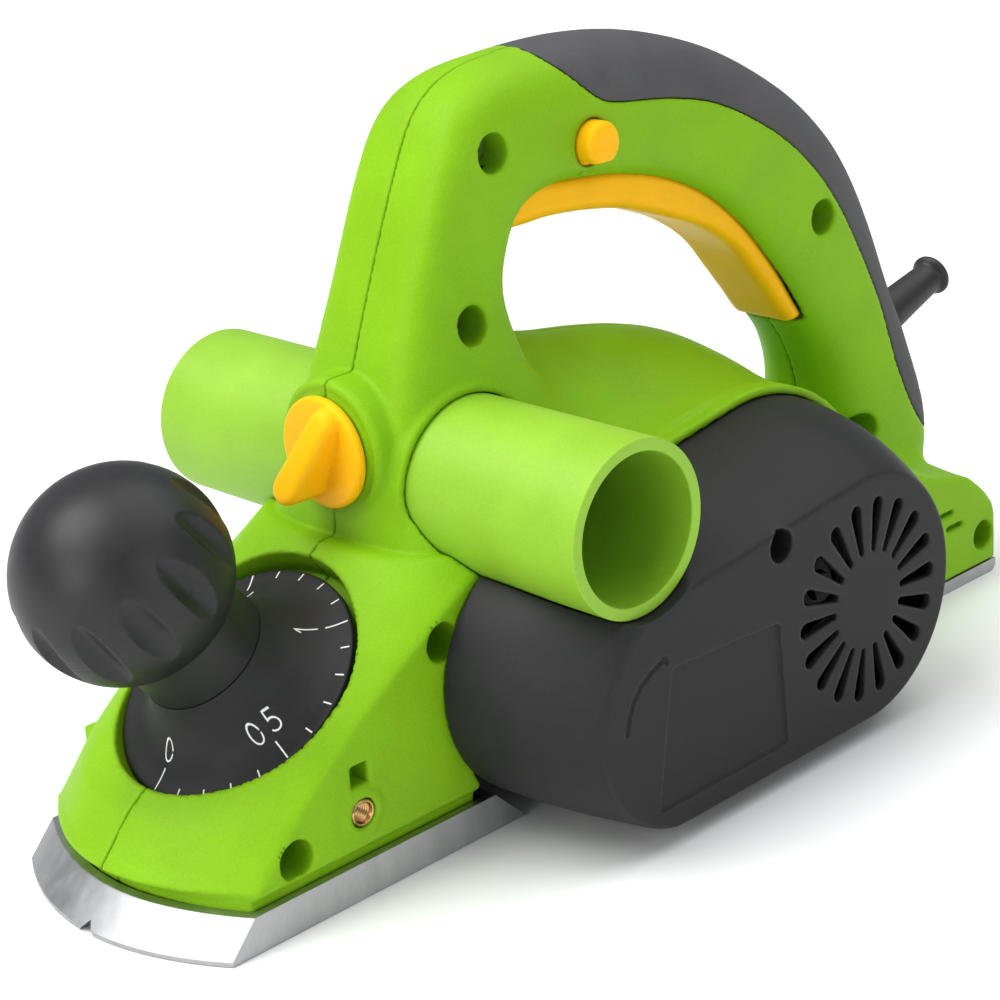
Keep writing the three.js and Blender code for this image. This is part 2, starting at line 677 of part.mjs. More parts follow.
// The casing's shell with everything moulded inside it, before it is split
function buildShell() {
  const bodyTop = handleHeight + overrun;
  const across = (x0, x1, y0, y1, z0, z1) => block(x0, x1, y0, y1, z0, z1).intersect(outerForm);
  const collar = rodY(ductAxisX, ductZ, collarRadius, -collarReach, collarReach, fineFacets);
  const boss = rod(v(selectorFaceX, 0, selectorZ), v(selectorFaceX + selectorBossDepth, 0, selectorZ),
    selectorBossRadius);
  const cup = rod(onKnobAxis(-dialThickness - gap - wall), onKnobAxis(dialRadius),
    dialRadius + dialPocketRoom + wall, cupFacets).intersect(outerForm);
  const hood = rodY(cutterX, cutterZ, drumHole + wall, -halfSole, halfSole, fineFacets).intersect(outerForm);
  const throatTop = ductZ - ductRadius + ductWall;
  const throat = across(ductAxisX - throatLength / 2 - wall, ductAxisX + throatLength / 2 + wall,
    -throatWidth / 2 - wall, throatWidth / 2 + wall, cutterZ + drumHole - wall * 3, throatTop);
  const hub = rod(onKnobAxis(hubFoot), onKnobAxis(-dialThickness - gap), hubRadius);
  const bulkheadX0 = motorX - barrelRadius;
  const bulkheadX1 = motorX + barrelRadius;
  const bulkhead = (y0, y1) => across(bulkheadX0, bulkheadX1, y0, y1, bodyFloor, motorZ + barrelRadius);
  const statorSeats = union(
    bulkhead(statorY0 + wall, statorY0 + wall * 2), bulkhead(statorY1 - wall * 2, statorY1 - wall));
  const brushSeat = bulkhead(brushY - brushHolderWidth / 2, brushY + brushHolderWidth / 2);
  const bearingSeat = rodY(motorX, motorZ, motorBearingRadius + gap + wall,
    motorBearingY0 - gap * 2, barrelRightY - wall / 2);
  const screwBosses = union(...housingScrews.map(([x, z]) => rodY(x, z, counterbore + bossWall,
    -soleWidth, soleWidth, bossFacets))).intersect(outerForm);
  const shoeBosses = union(...shoeScrewX.map((x) => rod(v(x, 0, bodyFloor), v(x, 0, bodyFloor + rearBossHeight),
    screwHeadRadius + bossWall, bossFacets)));
  const insertBoss = rodY(insertX, insertZ, insertRadius + bossWall, -halfSole, -halfSole + insertLength + wall);
  const pocketBoss = block(insertX - pocketWidth / 2 - bossWall, insertX + pocketWidth / 2 + bossWall,
    -halfSole, -halfSole + pocketDepth + wall, pocketZ - bossWall, pocketZ + pocketHeight + bossWall)
    .intersect(outerForm);
  const sleeves = union(...guidePlaces.map((place) => union(
    rod(place.clone().addScaledVector(knobAxis, guideSleeveFoot),
      place.clone().addScaledVector(knobAxis, guideSleeveTop), guideRadius + guideSleeve, smallFacets),
    block(place.x - guideRadius - guideSleeve, place.x - guideRadius, Math.min(place.y, place.y * 2),
      Math.max(place.y, place.y * 2), noseFloor + wall * 2 + gap, noseFloor + guideSleeveTop * knobAxis.z))));
  const ribWidth = handleHalfWidth * 2;
  const springRib = across(triggerSpringX - springSeat, triggerSpringX + springSeat, -ribWidth, ribWidth,
    triggerSpringTop + gap, triggerSpringTop + gap + wall);
  const switchMid = switchX0 + switchLength / 2;
  const shelf = (y0, y1) => across(switchMid - switchLength / 3, switchMid + switchLength / 3, y0, y1,
    switchZ0 + wall, switchZ0 + switchHeight - wall);
  const shelves = union(shelf(-handleHalfWidth, -switchWidth / 2 - gap), shelf(switchWidth / 2 + gap, handleHalfWidth));
  const buttonGuide = rodY(buttonX, buttonZ, buttonRadius + gap + bossWall, buttonGuideY, handleHalfWidth)
    .intersect(outerForm);
  const pinBosses = union(...[-1, 1].map((side) => rodY(triggerPivotX, triggerPivotZ, pinBossRadius,
    side > 0 ? triggerSlotHalf : -handleHalfWidth, side > 0 ? handleHalfWidth : -triggerSlotHalf, smallFacets)))
    .intersect(outerForm);
  const clampRib = across(clampX - clampLength, clampX + clampLength, -ribWidth, ribWidth,
    clampZ - wall * 2 - gap, clampZ - gap);
  const ribs = union(cup, hood, throat, hub.intersect(outerForm), statorSeats, brushSeat, bearingSeat, screwBosses,
    shoeBosses, insertBoss, pocketBoss, sleeves.intersect(outerForm), springRib, shelves, buttonGuide, pinBosses,
    clampRib);
  const lip = plate(twoCircles({ x: cutterX, z: coverDrumBack.z, r: coverDrumBack.r },
    { x: motorX, z: motorZ, r: barrelRadius }, coverFloorBack), -halfSole - lipDepth, -halfSole + wall)
    .intersect(block(motorX - barrelRadius * 2, motorX + barrelRadius, -soleWidth, 0, motorZ + lipRise, bodyTop))
    .subtract(coverForm(-gap, -soleWidth, -halfSole + overrun));
  return outerForm.subtract(innerForm).add(ribs).add(union(collar, boss, lip));
}

// Everything that is cut out of the shell
function buildShellCuts() {
  const reach = soleWidth;
  const duct = rodY(ductAxisX, ductZ, ductHole, -reach, reach, fineFacets);
  const drum = rodY(cutterX, cutterZ, drumHole, -reach, reach, fineFacets)
    .add(block(cutterX - mouthLength / 2 - overrun, cutterX + mouthLength / 2, -reach, reach, -overrun, cutterZ));
  const throat = block(ductAxisX - throatLength / 2, ductAxisX + throatLength / 2, -throatWidth / 2, throatWidth / 2,
    cutterZ, ductZ);
  const shoeRoom = block(noseX - overrun, frontShoeRear + overrun, -reach, reach, -overrun, noseFloor - gap);
  const noseWindow = block(dialCentre.x - hubRadius, frontShoeRear - wall * 3, -halfSole + wall * 2,
    halfSole - wall * 2, 0, noseFloor + wall * 2);
  const dialPocket = rod(onKnobAxis(-dialThickness - gap), onKnobAxis(dialRadius * 2), dialRadius + dialPocketRoom,
    fineFacets);
  const spindle = rod(onKnobAxis(hubFoot - overrun), onKnobAxis(0), turningHole(spindleRadius, roundFacets));
  const shoeBossRoom = rod(onKnobAxis(spindleFoot - shoeBossReach), onKnobAxis(hubFoot), hubRadius + gap * 2);
  const selector = rod(v(selectorFaceX - overrun, 0, selectorZ), v(ductAxisX, 0, selectorZ),
    selectorShaftRadius + gap, smallFacets);
  const selectorRoom = rod(v(selectorFaceX - selectorBossRadius, 0, selectorZ), v(selectorFaceX, 0, selectorZ),
    selectorBossRadius + gap);
  const stator = rodY(motorX, motorZ, statorRadius + gap, statorY0 - overrun, brushY - brushHolderWidth / 2 - wall,
    fineFacets);
  const fanRoom = rodY(motorX, motorZ, fanRadius + wall, -halfSole - lipDepth * 2, statorY0, fineFacets)
    .intersect(block(motorX - barrelRadius, motorX + barrelRadius, -reach, reach, bodyFloor + wall / 2, handleHeight));
  const shaftRoom = rodY(motorX, motorZ, commutatorRadius + wall, statorY1, motorBearingY0 - gap * 3);
  const bearing = rodY(motorX, motorZ, motorBearingRadius + gap, commutatorY1, motorBearingY1 + gap);
  const brushes = block(motorX - brushHolderReach - gap, motorX + brushHolderReach + gap,
    brushY - brushHolderWidth / 2 - gap, brushY + brushHolderWidth / 2 + gap,
    motorZ - brushHolderHeight / 2 - gap, motorZ + brushHolderHeight / 2 + gap);
  const screws = union(...housingScrews.map(([x, z]) => union(
    rodY(x, z, counterbore, -reach, screwSeatY, smallFacets),
    rodY(x, z, screwShankRadius + gap, screwSeatY - overrun, screwSeatY + screwLength + gap * 2, smallFacets))));
  const shoeScrews = union(...shoeScrewX.map((x) => rod(v(x, 0, 0), v(x, 0, bodyFloor + rearBossHeight - wall / 2),
    screwShankRadius + gap, smallFacets)));
  const insert = rodY(insertX, insertZ, insertRadius + gap, -reach, -halfSole + insertLength + gap);
  const pocket = block(insertX - pocketWidth / 2, insertX + pocketWidth / 2, -reach, -halfSole + pocketDepth,
    pocketZ, pocketZ + pocketHeight);
  const guides = union(...guidePlaces.map((place) => rod(place.clone().addScaledVector(knobAxis, -overrun * 3),
    place.clone().addScaledVector(knobAxis, guideTop + guideTravelRoom), guideRadius + gap)));
  const button = union(
    rodY(buttonX, buttonZ, buttonRadius + gap, -reach, handleHalfWidth - wall),
    rodY(buttonX, buttonZ, buttonFlangeRadius + gap, -handleHalfWidth + wall, buttonGuideY));
  const pin = rodY(triggerPivotX, triggerPivotZ, triggerPinRadius + gap, -triggerPinHalf - gap, triggerPinHalf + gap,
    smallFacets);
  const sleeve = rod(sleevePoint(-sleeveInner - overrun), sleevePoint(sleeveReach), sleeveRadius + gap);
  const flange = rod(sleevePoint(-sleeveInner - gap * 2), sleevePoint(-wall), sleeveRadius + wall + gap);
  const tailVents = union(...[0, 1].map((row) => block(rearEnd - tailLength * tailVentShares[0] + row * tailVentStep,
    rearEnd - tailLength * tailVentShares[1] + row * tailVentStep, -reach, 0,
    tailVentRise - row * tailVentPitch, tailVentRise - row * tailVentPitch + tailVentHeight)));
  const rightVents = union(...Array.from({ length: rightVentCount }, (_, i) => {
    const angle = (i / rightVentCount) * 2 * Math.PI;
    const slot = block(rightVentInner, rightVentOuter, 0, reach, -rightVentWidth / 2, rightVentWidth / 2);
    return slot.transform(new THREE.Matrix4().makeTranslation(motorX, brushY + brushHolderWidth, motorZ)
      .multiply(new THREE.Matrix4().makeRotationY(angle)).elements);
  }));
  const outline = triggerShares.map(onHandle);
  const slot = plate(grown(outline, triggerRoom), -triggerSlotHalf, triggerSlotHalf);
  const pulls = union(...Array.from({ length: triggerSteps + 1 },
    (_, i) => pulled(slot, (triggerPull * i) / triggerSteps)));
  const switchRoom = block(switchX0 - gap, switchX0 + switchLength + gap, -switchWidth / 2 - gap, switchWidth / 2 + gap,
    switchZ0 - gap, switchZ0 + switchHeight + gap);
  const actuator = block(actuatorX - actuatorWidth, actuatorX + actuatorWidth * 2, -actuatorWidth, actuatorWidth,
    triggerPivotZ - actuatorDrop, switchZ0 + wall);
  return union(duct, drum, throat, shoeRoom, noseWindow, dialPocket, spindle, shoeBossRoom, selector, selectorRoom,
    stator, fanRoom, shaftRoom, bearing, brushes, screws, shoeScrews, insert, pocket, guides, button, pin, sleeve,
    flange, tailVents, rightVents, pulls, switchRoom, actuator);
}

const shell = buildShell().subtract(gripRegion(0).subtract(handleSweep(gripThickness + gap, handleLoopPoints)))
  .subtract(buildShellCuts());
const leftSide = block(-farAway, farAway, -farAway, -gap / 2, -farAway, farAway);
const rightSide = block(-farAway, farAway, gap / 2, farAway, -farAway, farAway);

// The largest closed body of a solid, without the crumbs that its cuts leave
function largest(shape) {
  return shape.decompose().sort((a, b) => b.volume() - a.volume())[0];
}

// Materials
const paint = (color, roughness, metalness = 0) => new THREE.MeshStandardMaterial({ color, roughness, metalness });
const green = paint(0x86bd24, 0.45);
const black = paint(0x2b2b2c, 0.5);
const rubber = paint(0x333436, 0.8);
const yellow = paint(0xffc62e, 0.4);
const aluminium = paint(0xb9bbbd, 0.4, 1);
const steel = paint(0x9a9da1, 0.3, 1);
const darkSteel = paint(0x55585c, 0.45, 1);
const brass = paint(0xc08a4a, 0.35, 1);
const copper = paint(0xb8693a, 0.4, 1);
const carbon = paint(0x262626, 0.8);

const planer = new THREE.Group();

function addPiece(name, shape, material) {
  const { vertProperties, triVerts } = largest(shape).getMesh();
  const geometry = new THREE.BufferGeometry();
  geometry.setAttribute("position", new THREE.BufferAttribute(vertProperties, 3));
  geometry.setIndex(new THREE.BufferAttribute(triVerts, 1));
  geometry.computeVertexNormals();
  const mesh = new THREE.Mesh(geometry, material);
  mesh.name = name;
  planer.add(mesh);
}

// Casings
addPiece("housing_left", shell.intersect(leftSide), green);
addPiece("housing_right", shell.intersect(rightSide), green);
addPiece("handle_grip", handleOuter.intersect(gripRegion(gap)).subtract(handleSweep(gripThickness, handleLoopPoints))
  .subtract(rod(sleevePoint(-sleeveInner), sleevePoint(sleeveReach), sleeveRadius + gap)), rubber);

// Chip duct with its throat, and the flap that the selector turns
const ductBore = ductRadius - ductWall;
addPiece("chip_duct", ringY(ductAxisX, ductZ, ductRadius, ductBore, -ductReach, ductReach, fineFacets)
  .subtract(block(ductAxisX - throatLength / 2 + wall, ductAxisX + throatLength / 2 - wall,
    -throatWidth / 2 + wall, throatWidth / 2 - wall, 0, ductZ))
  .subtract(rod(v(selectorFaceX, 0, selectorZ), v(ductAxisX, 0, selectorZ), selectorShaftRadius + gap, smallFacets)),
green);

const flapDisc = rodY(ductAxisX, ductZ, ductBore - flapRoom, -flapThickness / 2, flapThickness / 2, fineFacets)
  .subtract(block(-farAway, farAway, -farAway, farAway, selectorZ, farAway))
  .subtract(block(ductAxisX - throatLength, ductAxisX + throatLength, -farAway, farAway, 0, ductZ - ductBore + wall));
const selectorBack = selectorFaceX - gap;
const deflector = flapDisc.add(rod(v(selectorBack - wall + gap, 0, selectorZ),
  v(ductAxisX + flapShaftReach, 0, selectorZ), selectorShaftRadius, smallFacets));
const selectorTurn = (shape) => shape.transform(new THREE.Matrix4().makeTranslation(0, 0, selectorZ)
  .multiply(new THREE.Matrix4().makeRotationX(radians(selectorTilt)))
  .multiply(new THREE.Matrix4().makeTranslation(0, 0, -selectorZ)).elements);
addPiece("chip_deflector", selectorTurn(deflector), black);

const barReach = selectorRadius - gap;
const barTipShare = 0.6;
const grip = loft([0, 1].map((end) => {
  const z = selectorZ + (end ? -barReach - wall : barReach);
  const front = selectorBack - selectorDisc - (end ? selectorBar.depth : selectorBar.depth / 2);
  const half = selectorBar.width / 2;
  return [v(selectorBack - wall, -half, z), v(front, -half * barTipShare, z), v(front, half * barTipShare, z),
    v(selectorBack - wall, half, z)];
}));
const selectorKnob = rod(v(selectorBack - selectorDisc, 0, selectorZ), v(selectorBack, 0, selectorZ), selectorRadius)
  .add(grip)
  .subtract(rod(v(selectorBack - wall, 0, selectorZ), v(selectorBack + overrun, 0, selectorZ),
    selectorShaftRadius + gap, smallFacets));
addPiece("chip_selector_knob", selectorTurn(selectorKnob), yellow);

// Depth knob, dial and spindle
const dialShares = [[0.86, 0.036], [0.66, 0.206], [0.53, 0.461], [0.46, 0.727]]; // radius and height of its flare
const dialProfile = [
  [spindleRadius + gap, -dialThickness], [dialRadius, -dialThickness], [dialRadius, 0],
  ...dialShares.map(([out, up]) => [dialRadius * out, neckTop * up]), [neckRadius, neckTop], [spindleRadius + gap, neckTop], [spindleRadius + gap, -dialThickness],
];
addPiece("depth_dial", turned(dialProfile, dialCentre, knobAxis, cupFacets), black);

const ballSteps = 9;
const neckInBall = neckRadius - neckStep;
const ballFoot = Math.asin((neckRadius + ballRecess * 1.5) / ballRadius);
const ballArc = Array.from({ length: ballSteps + 1 }, (_, i) => {
  const angle = mix(Math.PI - ballFoot, 0, i / ballSteps);
  return [ballRadius * Math.sin(angle), ballHeight + ballHalfHeight * Math.cos(angle)];
});
ballArc[ballSteps][0] = 0;
const ballGrooveTop = ballArc[0][1] + ballRecess;
addPiece("depth_knob", turned([
  [0, spindleHead + gap], [spindleRadius + gap, spindleHead + gap], [spindleRadius + gap, neckTop + gap],
  [neckInBall, neckTop + gap], [neckInBall, ballGrooveTop], [neckRadius + ballRecess, ballGrooveTop], ...ballArc,
], dialCentre, knobAxis, cupFacets), black);

const washerRadius = spindleRadius + washerWidth;
addPiece("depth_spindle", turned([
  [0, spindleFoot], [spindleRadius, spindleFoot], [spindleRadius, hubFoot - gap - spindleWasher],
  [washerRadius, hubFoot - gap - spindleWasher], [washerRadius, hubFoot - gap], [spindleRadius, hubFoot - gap],
  [spindleRadius, spindleHead], [0, spindleHead],
], dialCentre, knobAxis, smallFacets), steel);

// Front shoe with its groove, spindle boss and pin sockets
const shoeArcPoints = 14;
const shoeLoop = (z, draw, rear) => {
  const xCentre = frontShoeCorner - frontShoeBow + draw;
  const xCorner = frontShoeCorner + draw;
  const loop = Array.from({ length: shoeArcPoints + 1 }, (_, i) => {
    const side = 1 - (2 * i) / shoeArcPoints;
    return v(mix(xCentre, xCorner, side * side), side * halfSole, z);
  });
  return [...loop, v(rear, -halfSole, z), v(rear, halfSole, z)];
};
const rearSlope = frontShoeThickness;
const shoeBody = loft([
  shoeLoop(0, 0, frontShoeRear), shoeLoop(frontShoeRim, 0, frontShoeRear - frontShoeRim),
  shoeLoop(frontShoeThickness, frontShoeBevel, frontShoeRear - rearSlope),
]);
const grooveSides = 4;
const groove = rod(v(frontShoeCorner - frontShoeBow * 2, 0, 0), v(frontShoeRear + overrun, 0, 0),
  grooveWidth / 2, grooveSides);
const shoeTravel = shoeLift / knobAxis.z;
const shoeBossTop = hubFoot - spindleWasher - shoeTravel - shoeBossHeadroom;
const shoeBoss = rod(onKnobAxis(spindleFoot - shoeBossReach), onKnobAxis(shoeBossTop), hubRadius)
  .intersect(block(-farAway, farAway, -farAway, farAway, frontShoeThickness / 2, farAway));
const spindleRoom = rod(onKnobAxis(spindleFoot - spindleFootRoom), onKnobAxis(0),
  turningHole(spindleRadius, smallFacets), smallFacets);
const pinFoot = (place) => place.clone().addScaledVector(knobAxis, -guideDepth);
const pinSockets = union(...guidePlaces.map((place) => rod(place.clone().addScaledVector(knobAxis, -guideDepth - gap),
  place.clone().addScaledVector(knobAxis, overrun * 2), guideRadius + gap, smallFacets)));
addPiece("front_shoe", shoeBody.add(shoeBoss).subtract(groove).subtract(spindleRoom).subtract(pinSockets)
  .subtract(rodY(cutterX, cutterZ, drumHole, -soleWidth, soleWidth, fineFacets)), aluminium);
guidePlaces.forEach((place, i) => addPiece(`shoe_guide_pin_${i ? "right" : "left"}`,
  rod(pinFoot(place), place.clone().addScaledVector(knobAxis, guideTop), guideRadius, smallFacets), steel));

// Rear shoe and its screws
const rearShoe = plate([
  [-rearEnd, 0], [rearEnd - rearShoeBevel / 2, 0], [rearEnd, rearShoeBevel / 2], [rearEnd, rearShoeThickness],
  [-rearEnd + rearShoeBevel, rearShoeThickness], [-rearEnd, rearShoeThickness - rearShoeBevel],
], -halfSole, halfSole);
const screwHole = (x) => union(
  rod(v(x, 0, -overrun), v(x, 0, overrun * 2), screwShankRadius + gap, smallFacets),
  rod(v(x, 0, -gap), v(x, 0, screwHeadHeight + gap), screwHeadRadius + gap * 2, smallFacets, screwShankRadius + gap));
addPiece("rear_shoe", rearShoe.subtract(union(...shoeScrewX.map(screwHole))), aluminium);
shoeScrewX.forEach((x, i) => addPiece(`rear_shoe_screw_${i + 1}`, turned([
  [0, gap], [screwHeadRadius - gap, gap], [screwShankRadius, screwHeadHeight + gap],
  [screwShankRadius, bodyFloor + rearBossHeight - wall], [0, bodyFloor + rearBossHeight - wall],
], v(x, 0, 0), v(0, 0, 1), smallFacets), steel));

// Cutter drum with two blades and their clamps
const bladeHalf = halfSole - gap;
const drumHalf = bladeHalf - bladeOverhang;
const pulleyEnd = pulleyY0 - stubReach;
const drumRound = union(rodY(cutterX, cutterZ, drumRadius, -drumHalf, drumHalf, fineFacets),
  rodY(cutterX, cutterZ, stubRadius, pulleyEnd, plateY + bearingBoss - gap * 2));
const aroundDrum = (shape, turn) => shape.transform(new THREE.Matrix4().makeTranslation(cutterX, 0, cutterZ)
  .multiply(new THREE.Matrix4().makeRotationY(turn)).elements);
const slotFoot = cutRadius - bladeHeight - gap;
const clampFoot = drumRadius - clampHeight - gap * 2;
const bladeSlot = union(
  block(-bladeThickness / 2 - gap, bladeThickness / 2 + gap, -soleWidth, soleWidth, slotFoot, drumRadius * 2),
  block(0, bladeThickness / 2 + clampThickness + gap * 2, -soleWidth, soleWidth, clampFoot, drumRadius * 2),
  block(0, bladeThickness / 2 + clampThickness + gulletWidth, -soleWidth, soleWidth, drumRadius - gulletDepth,
    drumRadius * 2));
const bladeTurns = [0, Math.PI].map((turn) => turn + radians(bladeTurn));
addPiece("cutter_drum", drumRound.subtract(union(...bladeTurns.map((turn) => aroundDrum(bladeSlot, turn)))
  .subtract(rodY(cutterX, cutterZ, stubRadius, -soleWidth, soleWidth))), aluminium);
const bladeEdge = cutRadius * Math.cos(Math.asin(bladeThickness / 2 / cutRadius)) - gap;
bladeTurns.forEach((turn, i) => {
  const blade = plate([
    [-bladeThickness / 2, slotFoot + gap], [bladeThickness / 2, slotFoot + gap],
    [bladeThickness / 2, bladeEdge - bladeThickness], [-bladeThickness / 2, bladeEdge],
  ], -bladeHalf, bladeHalf);
  addPiece(`blade_${i + 1}`, aroundDrum(blade, turn), steel);
  const clamp = plate([
    [bladeThickness / 2 + gap, clampFoot + gap], [bladeThickness / 2 + gap + clampThickness - gap, clampFoot + gap],
    [bladeThickness / 2 + clampThickness, drumRadius - gulletDepth], [bladeThickness / 2 + gap, drumRadius - gap],
  ], -drumHalf, drumHalf);
  addPiece(`blade_clamp_${i + 1}`, aroundDrum(clamp, turn), darkSteel);
});

// Bearings: one ring each
function bearing(x, z, outer, bore, y0, y1) {
  return turned([[bore, 0], [outer, 0], [outer, y1 - y0], [bore, y1 - y0], [bore, 0]], v(x, y0, z), v(0, 1, 0));
}
const drumBearingInner = plateY + gap;
const drumBearingOuter = drumBearingInner + drumBearingWidth - gap * 2;
addPiece("drum_bearing_left", bearing(cutterX, cutterZ, drumBearingRadius, stubRadius + gap,
  -drumBearingOuter, -drumBearingInner), steel);
addPiece("drum_bearing_right", bearing(cutterX, cutterZ, drumBearingRadius, stubRadius + gap,
  drumBearingInner, drumBearingOuter), steel);
addPiece("motor_bearing_left", bearing(motorX, motorZ, motorBearingRadius, shaftRadius + gap,
  -plateY - motorBearingWidth, -plateY), steel);
addPiece("motor_bearing_right", bearing(motorX, motorZ, motorBearingRadius, shaftRadius + gap,
  motorBearingY0, motorBearingY1), steel);

// Bearing bridge on the belt side, and the drum's end plate on the other side
const bridgeInset = coverWall + gap * 2;
const bridgeFace = -plateY - bridgeThickness;
const bossFace = -plateY - bearingBoss;
const bridgeShare = 0.2; // of the cover's depth, whose section the bridge follows
const bridgePlate = plate(coverOutline(bridgeShare, bridgeInset), bridgeFace, -plateY)
  .add(rodY(cutterX, cutterZ, drumBearingRadius + gap + bearingLip, bossFace, -plateY))
  .add(rodY(motorX, motorZ, motorBearingRadius + gap + bearingLip, bossFace, -plateY))
  .add(rodY(coverScrewAt[0], coverScrewAt[1], screwHeadRadius + bossWall, bossFace, -plateY, smallFacets))
  .intersect(plate(coverOutline(bridgeShare, bridgeInset), bossFace, -plateY));
const bridgeWindows = union(...Array.from({ length: bridgeHoles }, (_, i) => {
  const angle = ((i + 1 / 2) / bridgeHoles) * 2 * Math.PI;
  const ring = (fanRadius + motorBearingRadius) / 2 + wall;
  return rodY(motorX + ring * Math.cos(angle), motorZ + ring * Math.sin(angle), bridgeHoleRadius,
    -soleWidth, 0, smallFacets);
}));
addPiece("bearing_bridge", bridgePlate
  .subtract(rodY(cutterX, cutterZ, drumBearingRadius + gap, -drumBearingOuter - gap, 0))
  .subtract(rodY(cutterX, cutterZ, stubRadius + wall, -soleWidth, 0))
  .subtract(rodY(motorX, motorZ, motorBearingRadius + gap, -plateY - motorBearingWidth - gap, 0))
  .subtract(rodY(motorX, motorZ, shaftRadius + wall, -soleWidth, 0))
  .subtract(rodY(coverScrewAt[0], coverScrewAt[1], screwShankRadius + gap, -soleWidth, 0, smallFacets))
  .subtract(rodY(ductAxisX, ductZ, ductHole + coverWall + gap, -soleWidth, 0, fineFacets))
  .subtract(bridgeWindows), aluminium);
const endPlateRadius = drumHole + wall;
addPiece("drum_end_plate", rodY(cutterX, cutterZ, endPlateRadius, plateY, plateY + bridgeThickness,
  cupFacets).intersect(block(-farAway, farAway, 0, soleWidth, coverFloorBack, farAway))
  .add(rodY(cutterX, cutterZ, drumBearingRadius + gap + bearingLip, plateY, plateY + bearingBoss + wall))
  .subtract(rodY(cutterX, cutterZ, drumBearingRadius + gap, 0, drumBearingOuter + gap))
  .subtract(rodY(motorX, motorZ, barrelRadius + gap, 0, soleWidth, fineFacets)), aluminium);

// Pulleys, nut and belt
const pulley = (x, z, radius, bore) => turned([
  [bore + gap, 0], [radius, 0], [radius, pulleyY1 - pulleyY0], [bore + gap, pulleyY1 - pulleyY0], [bore + gap, 0],
], v(x, pulleyY0, z), v(0, 1, 0), beltFacets);
addPiece("drum_pulley", pulley(cutterX, cutterZ, drumPulleyRadius, stubRadius), darkSteel);
addPiece("motor_pulley", pulley(motorX, motorZ, motorPulleyRadius, shaftRadius), darkSteel);
addPiece("drum_pulley_nut", rodY(cutterX, cutterZ, nutRadius, pulleyEnd + gap, pulleyY0 - gap, nutSides)
  .subtract(rodY(cutterX, cutterZ, stubRadius + gap, -farAway, 0)), steel);
const beltLoop = (grow) => twoCircles({ x: cutterX, z: cutterZ, r: drumPulleyRadius + grow },
  { x: motorX, z: motorZ, r: motorPulleyRadius + grow }, 0, beltFacets);
addPiece("drive_belt", plate(beltLoop(gap + beltThickness), pulleyY0 + gap, pulleyY1 - gap)
  .subtract(plate(beltLoop(gap), pulleyY0 - overrun, pulleyY1 + overrun)), rubber);

// Belt cover with vents, a saddle under the chip tube and a screw tube
const saddle = (grow) => rodY(ductAxisX, ductZ, ductRadius + grow, -farAway, farAway, fineFacets);
const coverOuter = coverForm(0, coverFaceY, coverBackY).subtract(saddle(gap * 2));
const coverInner = coverForm(coverWall, coverFaceY + coverWall, coverBackY + overrun)
  .subtract(saddle(gap * 2 + coverWall));
const screwTubeFoot = bossFace - gap;
const coverScrewSeat = screwTubeFoot - screwTubeFloor;
const screwTube = rodY(coverScrewAt[0], coverScrewAt[1], counterbore + bossWall, coverFaceY + coverWall / 2,
  screwTubeFoot, smallFacets);
const screwTubeBore = union(
  rodY(coverScrewAt[0], coverScrewAt[1], counterbore, coverFaceY - overrun, coverScrewSeat, smallFacets),
  rodY(coverScrewAt[0], coverScrewAt[1], screwShankRadius + gap, coverFaceY, 0, smallFacets));
const vents = union(...Array.from({ length: ventSlots }, (_, i) => {
  const slot = plate([
    [ventInner, -ventWidthInner / 2], [ventOuter, -ventWidthOuter / 2], [ventOuter, ventWidthOuter / 2],
    [ventInner, ventWidthInner / 2],
  ], -overrun, coverWall + overrun);
  return slot.transform(new THREE.Matrix4().makeTranslation(motorX, coverFaceY, motorZ)
    .multiply(new THREE.Matrix4().makeRotationY((i / ventSlots) * 2 * Math.PI)).elements);
}));
addPiece("belt_cover", coverOuter.subtract(coverInner).add(screwTube.intersect(coverOuter))
  .subtract(screwTubeBore).subtract(vents), black);
const coverScrewEnd = -plateY - gap;
addPiece("cover_screw", turned([
  [0, 0], [screwHeadRadius, 0], [screwHeadRadius, screwHeadHeight], [screwShankRadius, screwHeadHeight],
  [screwShankRadius, coverScrewEnd - coverScrewSeat + screwHeadHeight + gap],
  [0, coverScrewEnd - coverScrewSeat + screwHeadHeight + gap],
], v(coverScrewAt[0], coverScrewSeat - screwHeadHeight - gap, coverScrewAt[1]), v(0, 1, 0), smallFacets), steel);

// Motor: shaft, armature, commutator, fan, stator, coils, brushes
const shaftEnd = motorBearingY1 - gap;
addPiece("motor_shaft", rodY(motorX, motorZ, shaftRadius, pulleyY0 - gap * 2, shaftEnd, smallFacets), steel);
const coreRadius = statorBore - airGap;
const aroundMotor = (shape, turn) => shape.transform(new THREE.Matrix4().makeTranslation(motorX, 0, motorZ)
  .multiply(new THREE.Matrix4().makeRotationY(turn)).elements);
const coreCuts = union(...Array.from({ length: coreSlots }, (_, i) => aroundMotor(
  block(coreRadius - slotDepth, coreRadius * 2, -soleWidth, soleWidth, -slotWidth / 2, slotWidth / 2),
  (i / coreSlots) * 2 * Math.PI)));
addPiece("armature_core", ringY(motorX, motorZ, coreRadius, shaftRadius + gap, statorY0, statorY1)
  .subtract(coreCuts), darkSteel);
addPiece("commutator", ringY(motorX, motorZ, commutatorRadius, shaftRadius + gap, commutatorY0, commutatorY1,
  coreSlots * 2), copper);
const fanHub = shaftRadius + gap + wall;
const fanDisc = ringY(motorX, motorZ, fanRadius, shaftRadius + gap, fanY1 - wall / 2, fanY1);
const fanParts = Array.from({ length: fanBlades }, (_, i) => aroundMotor(
  block(fanHub, fanRadius - gap, fanY0, fanY1 - gap, -wall / 4, wall / 4), (i / fanBlades) * 2 * Math.PI));
addPiece("cooling_fan", union(fanDisc, ringY(motorX, motorZ, fanHub + gap, shaftRadius + gap, fanY0, fanY1),
  ...fanParts), black);

